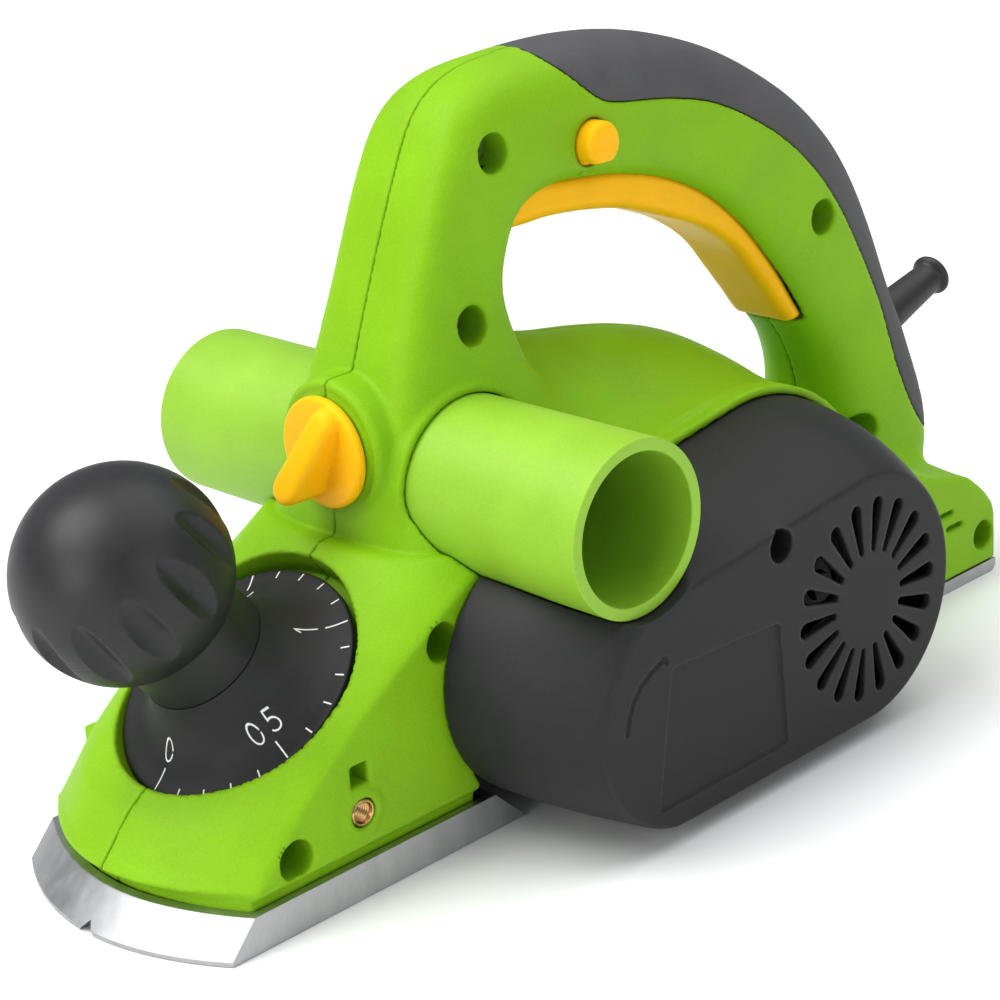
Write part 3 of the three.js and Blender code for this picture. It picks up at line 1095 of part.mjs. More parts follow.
const windowFoot = statorBore + poleLip;
const windowTop = statorRadius - yokeWidth;
const windowAt = (side, up) => block(
  side > 0 ? motorX + poleHalf : motorX - poleHalf - coilWidth - gap * 2,
  side > 0 ? motorX + poleHalf + coilWidth + gap * 2 : motorX - poleHalf, -soleWidth, soleWidth,
  up > 0 ? motorZ + windowFoot : motorZ - windowTop, up > 0 ? motorZ + windowTop : motorZ - windowFoot);
addPiece("stator_core", ringY(motorX, motorZ, statorRadius, statorBore, statorY0, statorY1, fineFacets)
  .subtract(union(windowAt(1, 1), windowAt(-1, 1), windowAt(1, -1), windowAt(-1, -1))), darkSteel);
[1, -1].forEach((up) => {
  const z0 = up > 0 ? motorZ + windowFoot + gap : motorZ - windowTop + gap;
  const z1 = up > 0 ? motorZ + windowTop - gap : motorZ - windowFoot - gap;
  const half = poleHalf + gap + coilWidth;
  addPiece(`field_coil_${up > 0 ? "top" : "bottom"}`,
    block(motorX - half, motorX + half, statorY0 - coilEnd, statorY1 + coilEnd / 2, z0, z1)
      .subtract(block(motorX - poleHalf - gap, motorX + poleHalf + gap, statorY0 - gap, statorY1 + gap,
        z0 - overrun, z1 + overrun)), copper);
});
[["front", -1], ["rear", 1]].forEach(([place, side]) => {
  const along = (a, b, halfY, halfZ) => block(
    side > 0 ? motorX + a : motorX - b, side > 0 ? motorX + b : motorX - a, brushY - halfY, brushY + halfY,
    motorZ - halfZ, motorZ + halfZ);
  const holderStart = commutatorRadius + wall / 2;
  addPiece(`brush_holder_${place}`, along(holderStart, brushHolderReach, brushHolderWidth / 2, brushHolderHeight / 2)
    .subtract(along(0, brushHolderReach - wall, brushWidth / 2 + gap, brushHeight / 2 + gap)), brass);
  addPiece(`carbon_brush_${place}`, along(commutatorRadius + gap, commutatorRadius + gap + brushLength,
    brushWidth / 2, brushHeight / 2), carbon);
});

// Controls in the handle
const actuator = block(actuatorX, actuatorX + actuatorWidth * 2, -actuatorWidth + gap, actuatorWidth - gap,
  triggerPivotZ - actuatorDrop, switchZ0 + wall);
const springPocket = block(triggerSpringX - springSeat, triggerSpringX + springSeat, -springSeat, springSeat,
  triggerSpringTop - triggerSpringLength - gap, handleHeight);
addPiece("trigger", plate(triggerShares.map(onHandle), -triggerWidth / 2, triggerWidth / 2).add(actuator)
  .subtract(springPocket)
  .subtract(rodY(triggerPivotX, triggerPivotZ, triggerPinRadius + gap, -soleWidth, soleWidth, smallFacets)), yellow);
addPiece("trigger_pin", rodY(triggerPivotX, triggerPivotZ, triggerPinRadius, -triggerPinHalf, triggerPinHalf,
  smallFacets), steel);
addPiece("trigger_spring", coil(v(triggerSpringX, 0, triggerSpringTop - triggerSpringLength), v(0, 0, 1),
  triggerSpringRadius, triggerSpringLength, triggerSpringCurls), steel);
const switchSlot = block(actuatorX - actuatorWidth, actuatorX + actuatorWidth * 4, -actuatorWidth - gap,
  actuatorWidth + gap, switchZ0 - overrun, switchZ0 + switchHeight / 2);
addPiece("power_switch", block(switchX0, switchX0 + switchLength, -switchWidth / 2, switchWidth / 2, switchZ0,
  switchZ0 + switchHeight).subtract(switchSlot), black);
const buttonFlangeY = -handleHalfWidth + wall + gap;
addPiece("lock_off_button", rodY(buttonX, buttonZ, buttonRadius, -handleHalfWidth - buttonProud, buttonInnerEnd)
  .add(rodY(buttonX, buttonZ, buttonFlangeRadius, buttonFlangeY, buttonFlangeY + buttonFlangeWidth)), yellow);
const buttonSpringStart = buttonInnerEnd + gap;
addPiece("button_spring", coil(v(buttonX, buttonSpringStart, buttonZ), v(0, 1, 0), buttonRadius - springWire * 2,
  handleHalfWidth - wall - gap - buttonSpringStart, buttonSpringCurls), steel);

// Strain relief sleeve and the clamp that holds the lead behind it
addPiece("cord_sleeve", turned([
  [sleeveBore, -sleeveInner], [sleeveRadius + wall, -sleeveInner], [sleeveRadius + wall, -sleeveInner + wall / 2],
  [sleeveRadius, -sleeveInner + wall / 2], [sleeveRadius, wall * 2], [sleeveEndRadius, sleeveReach - wall],
  [sleeveFlangeRadius, sleeveReach - wall / 2], [sleeveFlangeRadius, sleeveReach], [sleeveBore, sleeveReach],
  [sleeveBore, -sleeveInner],
], sleevePoint(0), sleeveAxis), rubber);
addPiece("cord_clamp", block(clampX - clampLength + gap, clampX + clampLength - gap, -handleHalfWidth / 2,
  handleHalfWidth / 2, clampZ, clampZ + wall), black);

// Brass insert and screws
addPiece("fence_insert", ringY(insertX, insertZ, insertRadius, insertBore, -halfSole, -halfSole + insertLength), brass);
housingScrews.forEach(([x, z], i) => addPiece(`housing_screw_${i + 1}`, turned([
  [0, 0], [screwHeadRadius, 0], [screwHeadRadius, screwHeadHeight - gap], [screwShankRadius, screwHeadHeight - gap],
  [screwShankRadius, screwHeadHeight + screwLength], [0, screwHeadHeight + screwLength],
], v(x, screwSeatY - screwHeadHeight, z), v(0, 1, 0), smallFacets), steel));

export default planer;
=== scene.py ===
import math

import bmesh
import bpy
import numpy as np
from mathutils import Matrix, Vector


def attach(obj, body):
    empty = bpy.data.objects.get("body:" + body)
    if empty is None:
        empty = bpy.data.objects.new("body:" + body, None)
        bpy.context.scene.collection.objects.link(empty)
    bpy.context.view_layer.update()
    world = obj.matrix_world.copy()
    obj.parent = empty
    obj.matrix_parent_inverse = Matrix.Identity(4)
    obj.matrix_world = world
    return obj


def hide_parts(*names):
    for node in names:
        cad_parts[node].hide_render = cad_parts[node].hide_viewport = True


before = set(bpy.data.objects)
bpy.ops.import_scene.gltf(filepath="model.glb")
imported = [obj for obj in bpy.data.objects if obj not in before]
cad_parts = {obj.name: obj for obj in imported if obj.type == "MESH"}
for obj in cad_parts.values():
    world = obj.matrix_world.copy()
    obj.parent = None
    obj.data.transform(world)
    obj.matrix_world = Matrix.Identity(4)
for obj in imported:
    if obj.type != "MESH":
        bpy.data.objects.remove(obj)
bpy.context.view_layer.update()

# Clamshell casings: two moulded halves of green glass-filled nylon, split on the centre plane and
# screwed together. They carry the nose, the post, the hump over the motor and the loop handle.
MM = 0.001
REAR = 91.0
HALF_SOLE = 41.0
CUTTER = (-104.0, 28.0)
MOTOR = (-27.0, 41.0)
DUCT = (-110.5, 87.0)
DIAL = np.array([-174.69, 0.0, 47.8])
TILT = math.radians(37)
SPINDLE = np.array([-math.sin(TILT), 0.0, math.cos(TILT)])
HANDLE_LENGTH, HANDLE_HEIGHT, HANDLE_HALF = 237.0, 189.0, 18.0
SEAM = 0.14  # half the parting line between the casings
handle_stations = np.array([
    # outer edge, inner edge, half width (shares of the handle's size), squareness of the back and of the inside
    (0.974, 0.349, 0.671, 0.349, 2.222, 4.0, 4.0), (0.968, 0.413, 0.686, 0.413, 1.889, 4.0, 4.0),
    (0.954, 0.513, 0.706, 0.542, 1.389, 4.5, 4.5), (0.932, 0.593, 0.733, 0.602, 1.194, 5.0, 5.0),
    (0.895, 0.714, 0.749, 0.686, 1.028, 5.0, 5.0), (0.848, 0.852, 0.738, 0.750, 1.000, 5.0, 5.0),
    (0.812, 0.935, 0.713, 0.790, 1.000, 4.0, 4.8), (0.764, 0.978, 0.668, 0.807, 1.000, 3.0, 4.6),
    (0.688, 0.994, 0.614, 0.803, 1.000, 2.4, 4.5), (0.578, 0.996, 0.551, 0.790, 1.000, 2.1, 4.5),
    (0.468, 0.975, 0.480, 0.764, 1.000, 2.1, 4.5), (0.350, 0.925, 0.411, 0.719, 1.000, 2.1, 4.5),
    (0.241, 0.848, 0.353, 0.658, 1.000, 2.1, 4.5), (0.170, 0.775, 0.313, 0.601, 1.000, 2.1, 4.5),
    (0.123, 0.702, 0.281, 0.548, 1.000, 2.1, 4.0), (0.085, 0.607, 0.252, 0.488, 1.000, 2.2, 3.2),
    (0.052, 0.491, 0.216, 0.428, 1.000, 2.4, 2.8), (0.023, 0.386, 0.193, 0.355, 1.056, 2.8, 3.0),
    (0.002, 0.243, 0.181, 0.265, 1.167, 3.5, 4.0), (0.030, 0.100, 0.176, 0.100, 1.180, 4.0, 4.0),
])


def on_handle(shares):
    """Places given as shares of the handle, as (x, z) in millimetres."""
    shares = np.asarray(shares, float)
    return np.stack([REAR - shares[..., 0] * HANDLE_LENGTH, shares[..., 1] * HANDLE_HEIGHT], -1)


def flowing(rows, per_step=12):
    """A smooth curve through every row, with the same number of points between any two."""
    rows = np.asarray(rows, float)
    padded = np.vstack([2 * rows[0] - rows[1], rows, 2 * rows[-1] - rows[-2]])
    parts = []
    for k in range(len(rows) - 1):
        a, b, c, d = padded[k:k + 4]
        t = np.arange(per_step)[:, None] / per_step
        parts.append(0.5 * (2 * b + (c - a) * t + (2 * a - 5 * b + 4 * c - d) * t ** 2
                            + (3 * b - a - 3 * c + d) * t ** 3))
    return np.vstack(parts + [rows[-1:]])


def blend_out(a, b, radius):
    """Join of two forms with a fillet."""
    h = np.maximum(radius - np.abs(a - b), 0) / radius
    return np.minimum(a, b) - h * h * radius / 4


def blend_in(a, b, radius):
    """Overlap of two forms with a rounded edge."""
    return -blend_out(-a, -b, radius)


def carve(form, cutter, radius=0.6):
    """A form with another cut out of it and the rim rounded."""
    return blend_in(form, -cutter, radius)


def rod_y(x, y, z, place, radius):
    """Distance from a round rod along Y."""
    return np.hypot(x - place[0], z - place[1]) - radius


def slab(value, low, high):
    """Distance from a layer between two heights."""
    return np.abs(value - (low + high) / 2) - (high - low) / 2


# the handle's section at each place of the side view, worked out once on a fine lattice
LATTICE = 0.6
lattice_x = np.arange(-172, 100, LATTICE)
lattice_z = np.arange(8, 204, LATTICE)


def handle_lattice():
    """Place across the section, half width, squareness and depth for each point of the lattice."""
    curve = flowing(handle_stations)
    outer, inner = on_handle(curve[:, 0:2]), on_handle(curve[:, 2:4])
    across = inner - outer
    depth = np.linalg.norm(across, axis=1)
    across /= depth[:, None]
    gx, gz = np.meshgrid(lattice_x, lattice_z, indexing="ij")
    best = np.full(gx.shape, 1e9)
    keep = [np.zeros(gx.shape) for _ in range(5)]
    for k in range(len(curve)):
        px, pz = gx - outer[k, 0], gz - outer[k, 1]
        side = px * across[k, 1] - pz * across[k, 0]
        along = 2 * (px * across[k, 0] + pz * across[k, 1]) / depth[k] - 1
        past = np.maximum(np.abs(along) - 1.5, 0) * depth[k] / 2
        far = np.hypot(side, past)
        nearer = far < best
        best = np.where(nearer, far, best)
        for store, value in zip(keep, (along, curve[k, 4] * HANDLE_HALF, curve[k, 5], curve[k, 6], depth[k] / 2)):
            store[nearer] = np.broadcast_to(value, gx.shape)[nearer]
    gap = np.where(best < 2, (best - 2) * 40, best - 2)
    return [smooth_lattice(v, 8) for v in keep] + [gap]


def smooth_lattice(values, passes):
    """A table smoothed over its neighbours."""
    for _ in range(passes):
        padded = np.pad(values, 1, mode="edge")
        values = (padded[:-2, 1:-1] + padded[2:, 1:-1] + padded[1:-1, :-2] + padded[1:-1, 2:]
                  + 4 * padded[1:-1, 1:-1]) / 8
    return values


handle_tables = handle_lattice()


def look_up(table, x, z):
    """A lattice value between its points, for places given in millimetres."""
    fx = np.clip((x - lattice_x[0]) / LATTICE, 0, len(lattice_x) - 1.001)
    fz = np.clip((z - lattice_z[0]) / LATTICE, 0, len(lattice_z) - 1.001)
    fx, fz = np.broadcast_arrays(fx, fz)
    ix, iz = fx.astype(int), fz.astype(int)
    u, v = fx - ix, fz - iz
    return ((table[ix, iz] * (1 - u) + table[ix + 1, iz] * u) * (1 - v)
            + (table[ix, iz + 1] * (1 - u) + table[ix + 1, iz + 1] * u) * v)


def handle_form(x, y, z):
    """The post, the loop handle and its foot, with a rounded section."""
    along, half, back, inside, deep, gap = (look_up(t, x, z) for t in handle_tables)
    square = np.where(along < 0, back, inside)
    ring = (np.abs(along) ** square + (np.abs(y) / half) ** square) ** (1 / square)
    return np.maximum((ring - 1) * np.minimum(half, deep), gap)


NOSE_FLOOR = 14.4
nose_centre = np.array([(0, -219.6), (12.6, -220.4), (15.6, -221.3), (26.6, -211.4), (76, -143.6), (90, -125)])
nose_corner = np.array([(0, -204), (12.4, -204.8), (13.9, -205.7), (30.6, -190.6), (47.6, -169.5), (62.5, -144.8),
                        (76, -120.5), (90, -95)])


def nose_form(x, y, z):
    """The sloped front that carries the dial, bowed from side to side."""
    side = (np.minimum(np.abs(y), HALF_SOLE + 4) / HALF_SOLE) ** np.interp(z, (18, 44), (2, 3.6))
    centre = np.interp(z, nose_centre[:, 0], nose_centre[:, 1])
    corner = np.interp(z, nose_corner[:, 0], nose_corner[:, 1])
    front = (centre + (corner - centre) * side - x) * 0.62
    walls = np.abs(y) - HALF_SOLE
    form = blend_in(front, walls, 1.6)
    form = blend_in(form, np.maximum(NOSE_FLOOR - z, z - 76), 1.0)
    return np.maximum(form, x + 100)


# rows of the hump are shares of the motor barrel, and rows of the tail shares of the deck behind it
hump_edge = np.array([(-1.96, 0.61), (-1.45, 0.77), (-1.05, 0.87), (-0.65, 0.93), (-0.34, 0.99), (-0.02, 1.0),
                      (0.27, 0.94), (0.56, 0.79), (0.77, 0.63), (1.01, 0.38)]) * 50.5 + MOTOR
hump_crest = np.array([(-1.96, 1.01), (-1.45, 1.41), (-1.05, 1.445), (-0.69, 1.375), (-0.36, 1.315), (-0.02, 1.235),
                       (0.28, 1.13), (0.56, 0.97), (0.81, 0.80), (1.05, 0.65)]) * 50.5 + MOTOR
tail_edge = np.array([(0.791, 1.27), (0.507, 1.02), (0.349, 0.93), (0.245, 0.88), (0.187, 0.845), (0.109, 0.742),
                      (0.049, 0.638), (0.012, 0.50)])
tail_crest = np.array([(0.761, 1.55), (0.507, 1.25), (0.349, 1.11), (0.245, 1.02), (0.187, 0.955), (0.109, 0.82),
                       (0.049, 0.69), (0.012, 0.53)])
to_tail = lambda rows: np.stack([REAR - rows[:, 0] * 67, rows[:, 1] * 40], 1)
edge_line = flowing(np.vstack([hump_edge, to_tail(tail_edge), [(91.4, 0)]]))
crest_line = flowing(np.vstack([hump_crest, to_tail(tail_crest), [(91.4, 0)]]))


def trunk_form(x, y, z):
    """The hump over the motor and the tail, crowned from side to side."""
    crown = np.cos(np.minimum(np.abs(y), HALF_SOLE) / HALF_SOLE * math.pi / 2) ** 2
    low = np.interp(x, edge_line[:, 0], edge_line[:, 1])
    high = np.interp(x, crest_line[:, 0], crest_line[:, 1])
    top = (z - low - (high - low) * crown) * 0.75
    form = blend_in(top, np.abs(y) - HALF_SOLE, 2.0)
    form = blend_in(form, np.maximum(-126 - x, x - 90.7), 1.0)
    return np.maximum(form, 4.3 - z)


SELECTOR_Z = 98.6
BARREL = 50.5
INSERT = (-171.0, 23.0)


def skirt_form(x, y, z):
    """The nose's lower skirt, which narrows downward and dips into the front shoe."""
    wide = np.clip((z - 12.1) * 1.1, 0, 2.5)
    front = ((12.7 + wide) * (y / HALF_SOLE) ** 2 - 216.9 - 1.1 * wide - x) * 0.9
    return np.maximum(np.maximum(front, np.abs(y) - 38.3 - wide), x + 131.8 - 2.3 * wide)


def casing_form(x, y, z):
    """The outside of both casings."""
    form = blend_out(nose_form(x, y, z), trunk_form(x, y, z), 1.5)
    barrel = blend_in(rod_y(x, y, z, MOTOR, BARREL), np.maximum(y - 50, 4.3 - z), 2.0)
    form = blend_out(form, np.maximum(barrel, -30 - y), 2.0)
    form = blend_out(form, handle_form(x, y, z), np.interp(x, (-122, -98), (0.7, 4.5)))
    collar = blend_in(rod_y(x, y, z, DUCT, 24.9), np.abs(y) - 22.5, 1.2)
    form = blend_out(form, collar, 1.6)
    boss = np.hypot(y, z - SELECTOR_Z)
    lip = np.hypot(boss - 15.6, x + 137.8) - 0.8
    boss = carve(blend_in(boss - 18.5, slab(x, -137.6, -118), 2.6), lip, 0.3)
    form = blend_out(form, boss, 0.8)
    form = np.minimum(form, np.maximum(skirt_form(x, y, z), slab(z, 9.4, 16)))
    pad = np.maximum(rod_y(x, y, z, INSERT, 6.3), slab(y, -41.4, -40))
    catch = np.maximum(np.maximum(slab(x, -193, -188), slab(y, 39, 43.2)), slab(z, 24.5, 30))
    return np.minimum(form, np.minimum(pad, catch + 0.2))


def net(field, low, high, step):
    """Points and quads of the surface on which a field is zero, on a lattice in millimetres."""
    axes = [np.arange(a, b + step, step) for a, b in zip(low, high)]
    x, y, z = np.meshgrid(*axes, indexing="ij", sparse=True)
    values = np.broadcast_to(field(x, y, z), tuple(len(a) for a in axes)).astype(np.float32)
    inside = values < 0
    corners = [(i, j, k) for i in (0, 1) for j in (0, 1) for k in (0, 1)]
    shape = tuple(n - 1 for n in values.shape)
    part = lambda a, c: a[c[0]:c[0] + shape[0], c[1]:c[1] + shape[1], c[2]:c[2] + shape[2]]
    count = sum(part(inside, c).astype(np.int8) for c in corners)
    cells = np.argwhere((count > 0) & (count < 8))
    total = np.zeros((len(cells), 3))
    hits = np.zeros(len(cells))
    for axis in range(3):
        for a in (c for c in corners if c[axis] == 0):
            b = tuple(a[i] + (i == axis) for i in range(3))
            va = values[tuple((cells + a).T)]
            vb = values[tuple((cells + b).T)]
            cross = (va < 0) != (vb < 0)
            share = np.where(cross, va / np.where(cross, va - vb, 1), 0)
            point = np.array(a) + share[:, None] * (np.arange(3) == axis)
            total += np.where(cross[:, None], point, 0)
            hits += cross
    points = (cells + total / hits[:, None]) * step + np.array([a[0] for a in axes])
    number = np.full(shape, -1, np.int32)
    number[tuple(cells.T)] = np.arange(len(cells))
    quads = []
    for axis in range(3):
        u, v = (axis + 1) % 3, (axis + 2) % 3
        first = [slice(None)] * 3
        second = [slice(None)] * 3
        first[axis], second[axis] = slice(0, -1), slice(1, None)
        here, there = inside[tuple(first)], inside[tuple(second)]
        places = np.argwhere(here != there)
        places = places[(places[:, u] > 0) & (places[:, v] > 0)
                        & (places[:, u] < shape[u]) & (places[:, v] < shape[v])]
        du, dv = np.eye(3, dtype=int)[u], np.eye(3, dtype=int)[v]
        ring = [number[tuple((places - o).T)] for o in (du + dv, dv, 0 * du, du)]
        quad = np.stack(ring, 1)
        turn = here[tuple(places.T)]
        quad[~turn] = quad[~turn][:, ::-1]
        quads.append(quad)
    quads = np.vstack(quads)
    return points, quads[(quads >= 0).all(1)]


def settle(field, points, rounds=2, reach=0.4):
    """Moves points onto the surface on which a field is zero."""
    h = 0.04
    for _ in range(rounds):
        x, y, z = points.T
        value = field(x, y, z)
        slope = np.stack([field(x + h, y, z) - field(x - h, y, z), field(x, y + h, z) - field(x, y - h, z),
                          field(x, y, z + h) - field(x, y, z - h)], 1) / (2 * h)
        size = np.maximum((slope ** 2).sum(1), 0.05)
        move = -slope * (value / size)[:, None]
        length = np.linalg.norm(move, axis=1, keepdims=True)
        points = points + move * np.minimum(1, reach / np.maximum(length, 1e-9))
    return points


def mesh_piece(name, points, faces, material=None):
    """A smooth-shaded object from points in millimetres."""
    data = bpy.data.meshes.new(name)
    points = np.asarray(points, np.float32) * MM
    faces = np.asarray(faces, np.int32)
    data.vertices.add(len(points))
    data.vertices.foreach_set("co", points.ravel())
    data.loops.add(faces.size)
    data.loops.foreach_set("vertex_index", faces.ravel())
    data.polygons.add(len(faces))
    data.polygons.foreach_set("loop_start", np.arange(len(faces), dtype=np.int32) * faces.shape[1])
    data.polygons.foreach_set("use_smooth", np.ones(len(faces), bool))
    data.update(calc_edges=True)
    piece = bpy.data.objects.new(name, data)
    bpy.context.scene.collection.objects.link(piece)
    if material:
        data.materials.append(material)
    return piece


def moulded(name, field, low, high, step, material):
    """A piece whose surface is where its field is zero."""
    points, quads = net(field, low, high, step)
    return mesh_piece(name, settle(field, points, 2, step / 2), quads, material)


# cut-outs of the casings
housing_screws = on_handle([(1.197, 0.101), (0.978, 0.305), (0.818, 0.664), (0.766, 0.885), (0.220, 0.642),
                            (0.156, 0.275), (0.027, 0.071)])
grip_line = on_handle([(0.656, 1.06), (0.656, 1.015), (0.660, 0.990), (0.636, 0.957), (0.606, 0.923), (0.576, 0.907),
                       (0.485, 0.890), (0.401, 0.861), (0.308, 0.799), (0.242, 0.733), (0.190, 0.656),
                       (0.143, 0.556), (0.108, 0.466), (0.080, 0.344), (0.044, 0.254), (-0.012, 0.222),
                       (-0.10, 0.3), (-0.10, 1.06)])
trigger_line = on_handle([
    (0.764, 0.799), (0.738, 0.765), (0.700, 0.761), (0.654, 0.761), (0.595, 0.753), (0.536, 0.738), (0.472, 0.709),
    (0.408, 0.675), (0.350, 0.626), (0.310, 0.568), (0.280, 0.522), (0.256, 0.483), (0.244, 0.478), (0.228, 0.482),
    (0.230, 0.490), (0.253, 0.534), (0.291, 0.608), (0.333, 0.672), (0.397, 0.738), (0.470, 0.780), (0.553, 0.806),
    (0.656, 0.819), (0.713, 0.847), (0.747, 0.857), (0.768, 0.836), (0.772, 0.815)])


def outline_lattice(line):
    """Signed distance from a closed outline in the side view, on the lattice."""
    gx, gz = np.meshgrid(lattice_x, lattice_z, indexing="ij")
    best = np.full(gx.shape, 1e9)
    inside = np.zeros(gx.shape, bool)
    for (ax, az), (bx, bz) in zip(line, np.roll(line, -1, axis=0)):
        ex, ez = bx - ax, bz - az
        t = np.clip(((gx - ax) * ex + (gz - az) * ez) / max(ex * ex + ez * ez, 1e-9), 0, 1)
        best = np.minimum(best, np.hypot(gx - ax - t * ex, gz - az - t * ez))
        crosses = (az > gz) != (bz > gz)
        inside ^= crosses & (gx < ax + (gz - az) * ex / (ez if abs(ez) > 1e-9 else 1e-9))
    return np.where(inside, -best, best)


grip_table = smooth_lattice(outline_lattice(flowing(grip_line, 5)), 4)
trigger_table = smooth_lattice(outline_lattice(flowing(trigger_line, 5)), 2)
WALL = 2.9
GRIP = 2.3  # thickness of the soft back
BUTTON = on_handle((0.615, 0.861))
PIVOT = on_handle((0.747, 0.825))
SWING, TRIGGER_ROOM = 0.06, 12.7  # the trigger's swing in radians, half its slot's width
POST_SCREW = housing_screws[3]


def knob_height(x, y, z):
    """Height along the depth knob's axis and distance from it."""
    rx, ry, rz = x - DIAL[0], y - DIAL[1], z - DIAL[2]
    up = rx * SPINDLE[0] + rz * SPINDLE[2]
    return up, np.sqrt(np.maximum(rx * rx + ry * ry + rz * rz - up * up, 0))


COVER_BACK, COVER_DEPTH, COVER_FACE = -41.3, 42.7, -84.0


def cover_hull(x, z, share, inset=0.0):
    """Distance from the belt cover's section at a share of its depth: a hull round two circles."""
    bulge = share * share
    cx = CUTTER[0] - 3 + 8.5 * bulge
    cz = 42 - 5.6 * bulge
    cr = 35.4 - 4.0 * bulge - inset
    mx, mz = MOTOR
    mr = 48.2 - 13.6 * bulge - inset
    dx, dz = mx - cx, mz - cz
    far = np.hypot(dx, dz)
    ux, uz = dx / far, dz / far
    px, pz = x - cx, z - cz
    along = px * ux + pz * uz
    off = np.abs(pz * ux - px * uz)
    lean = (cr - mr) / far
    upright = np.sqrt(1 - lean * lean)
    k = along * upright - off * lean
    body = off * upright + along * lean - cr
    first = np.hypot(px, pz) - cr
    last = np.hypot(x - mx, z - mz) - mr
    return np.where(k < 0, first, np.where(k > far * upright, last, body))


def cover_form(x, y, z, inset=0.0, radius=1.1):
    """The belt cover's outside, drawn in by an inset."""
    share = np.clip((COVER_BACK - y) / COVER_DEPTH, 0, 1.05)
    form = cover_hull(x, z, share, inset) * 0.93
    form = blend_in(form, COVER_FACE + inset - y, radius)
    return blend_in(form, 4.4 + share * share + inset - z, 1.0)


VENTS = 12


def casing_cuts(x, y, z):
    """Everything that is open in the casings."""
    cut = rod_y(x, y, z, DUCT, 23.0)
    drum = np.minimum(rod_y(x, y, z, CUTTER, 30.7),
                      np.maximum(np.maximum(slab(x, -120, -91), z - 28), np.abs(y) - 60))
    cut = np.minimum(cut, drum)
    up, out = knob_height(x, y, z)
    back = (x - DIAL[0]) * math.cos(TILT) + (z - DIAL[2]) * math.sin(TILT)
    pocket = np.hypot(back - np.clip(back, 0, 2.4), y) - 34.5
    cut = np.minimum(cut, np.maximum(pocket, -5.5 - up))
    cut = np.minimum(cut, np.maximum(out - 4.3, -26 - up))
    skirt = skirt_form(x, y, z)
    cut = np.minimum(cut, np.maximum(np.maximum(x + 112, z - 12.3), np.minimum(0.05 - skirt, skirt + 2.2)))
    for place in housing_screws:
        radius = 4.6 if place[0] > 80 else 5.2
        cut = np.minimum(cut, np.maximum(rod_y(x, y, z, place, radius), y + 9))
    cut = np.minimum(cut, np.maximum(rod_y(x, y, z, INSERT, 3.9), y + 29))
    square = np.maximum(np.maximum(slab(x, -173.9, -168.3), slab(z, 30.4, 36.2)), y + 34)
    cut = np.minimum(cut, square)
    button = np.maximum(rod_y(x, y, z, BUTTON, 6.4), y - 15.2)
    collar_room = np.maximum(rod_y(x, y, z, BUTTON, 8.0), slab(y, -15.4, 1))
    cut = np.minimum(cut, np.minimum(button, collar_room))
    swept = np.minimum.reduce([look_up(trigger_table, x + swing * (z - PIVOT[1]), z - swing * (x - PIVOT[0]))
                               for swing in np.linspace(0, SWING, 5)])
    screw_wall = 6.3 - np.hypot(x - POST_SCREW[0], z - POST_SCREW[1])
    cut = np.minimum(cut, np.maximum(blend_in(swept - 0.8, np.abs(y) - TRIGGER_ROOM, 4.0), screw_wall))
    turn = np.arctan2(z - MOTOR[1], x - MOTOR[0])
    out = np.hypot(z - MOTOR[1], x - MOTOR[0])
    pitch = 2 * math.pi / VENTS
    off = np.abs((turn + pitch / 2) % pitch - pitch / 2) * out
    vents = np.maximum(np.hypot(off, np.maximum(np.abs(out - 30.5) - 8, 0)) - 1.7, 30 - y)
    cut = np.minimum(cut, vents)
    for row in (0, 1):
        slot_x, slot_z = 65.4 + 4.6 * row, 25.8 - 5.2 * row
        slot = np.hypot(np.maximum(np.abs(x - slot_x) - 3.4, 0), z - slot_z) - 0.8
        cut = np.minimum(cut, np.maximum(slot, y + 38))
    sleeve = sleeve_distance(x, y, z)
    return np.minimum(cut, sleeve - 6.6)


SLEEVE = on_handle((0.034, 0.392))
SLEEVE_TILT = math.radians(16)


def sleeve_distance(x, y, z):
    """Distance from the strain relief's axis."""
    rx, rz = x - SLEEVE[0], z - SLEEVE[1]
    along = rx * math.cos(SLEEVE_TILT) + rz * math.sin(SLEEVE_TILT)
    return np.maximum(np.hypot(rz * math.cos(SLEEVE_TILT) - rx * math.sin(SLEEVE_TILT), y), -along - 12)


def casing_shell(x, y, z):
    """Both casings as hollow shells, with the lip round the cover and the rebate for the soft back."""
    form = casing_form(x, y, z)
    lip = np.maximum(np.maximum(cover_hull(x, z, 0.0, -2.6), slab(y, -45, -38)), np.maximum(55 - z, -94 - x))
    form = blend_out(form, lip, 0.8)
    form = carve(form, np.maximum(cover_form(x, y, z, -0.35), y + 41.15), 0.5)
    grip = look_up(grip_table, x, z)
    skin = handle_form(x, y, z) + GRIP + 0.3
    form = blend_in(form, -np.maximum(grip, -skin), 0.3)
    cuts = casing_cuts(x, y, z)
    hollow = np.maximum(form + WALL, WALL - cuts)
    return np.maximum(carve(form, cuts, 0.7), -hollow)


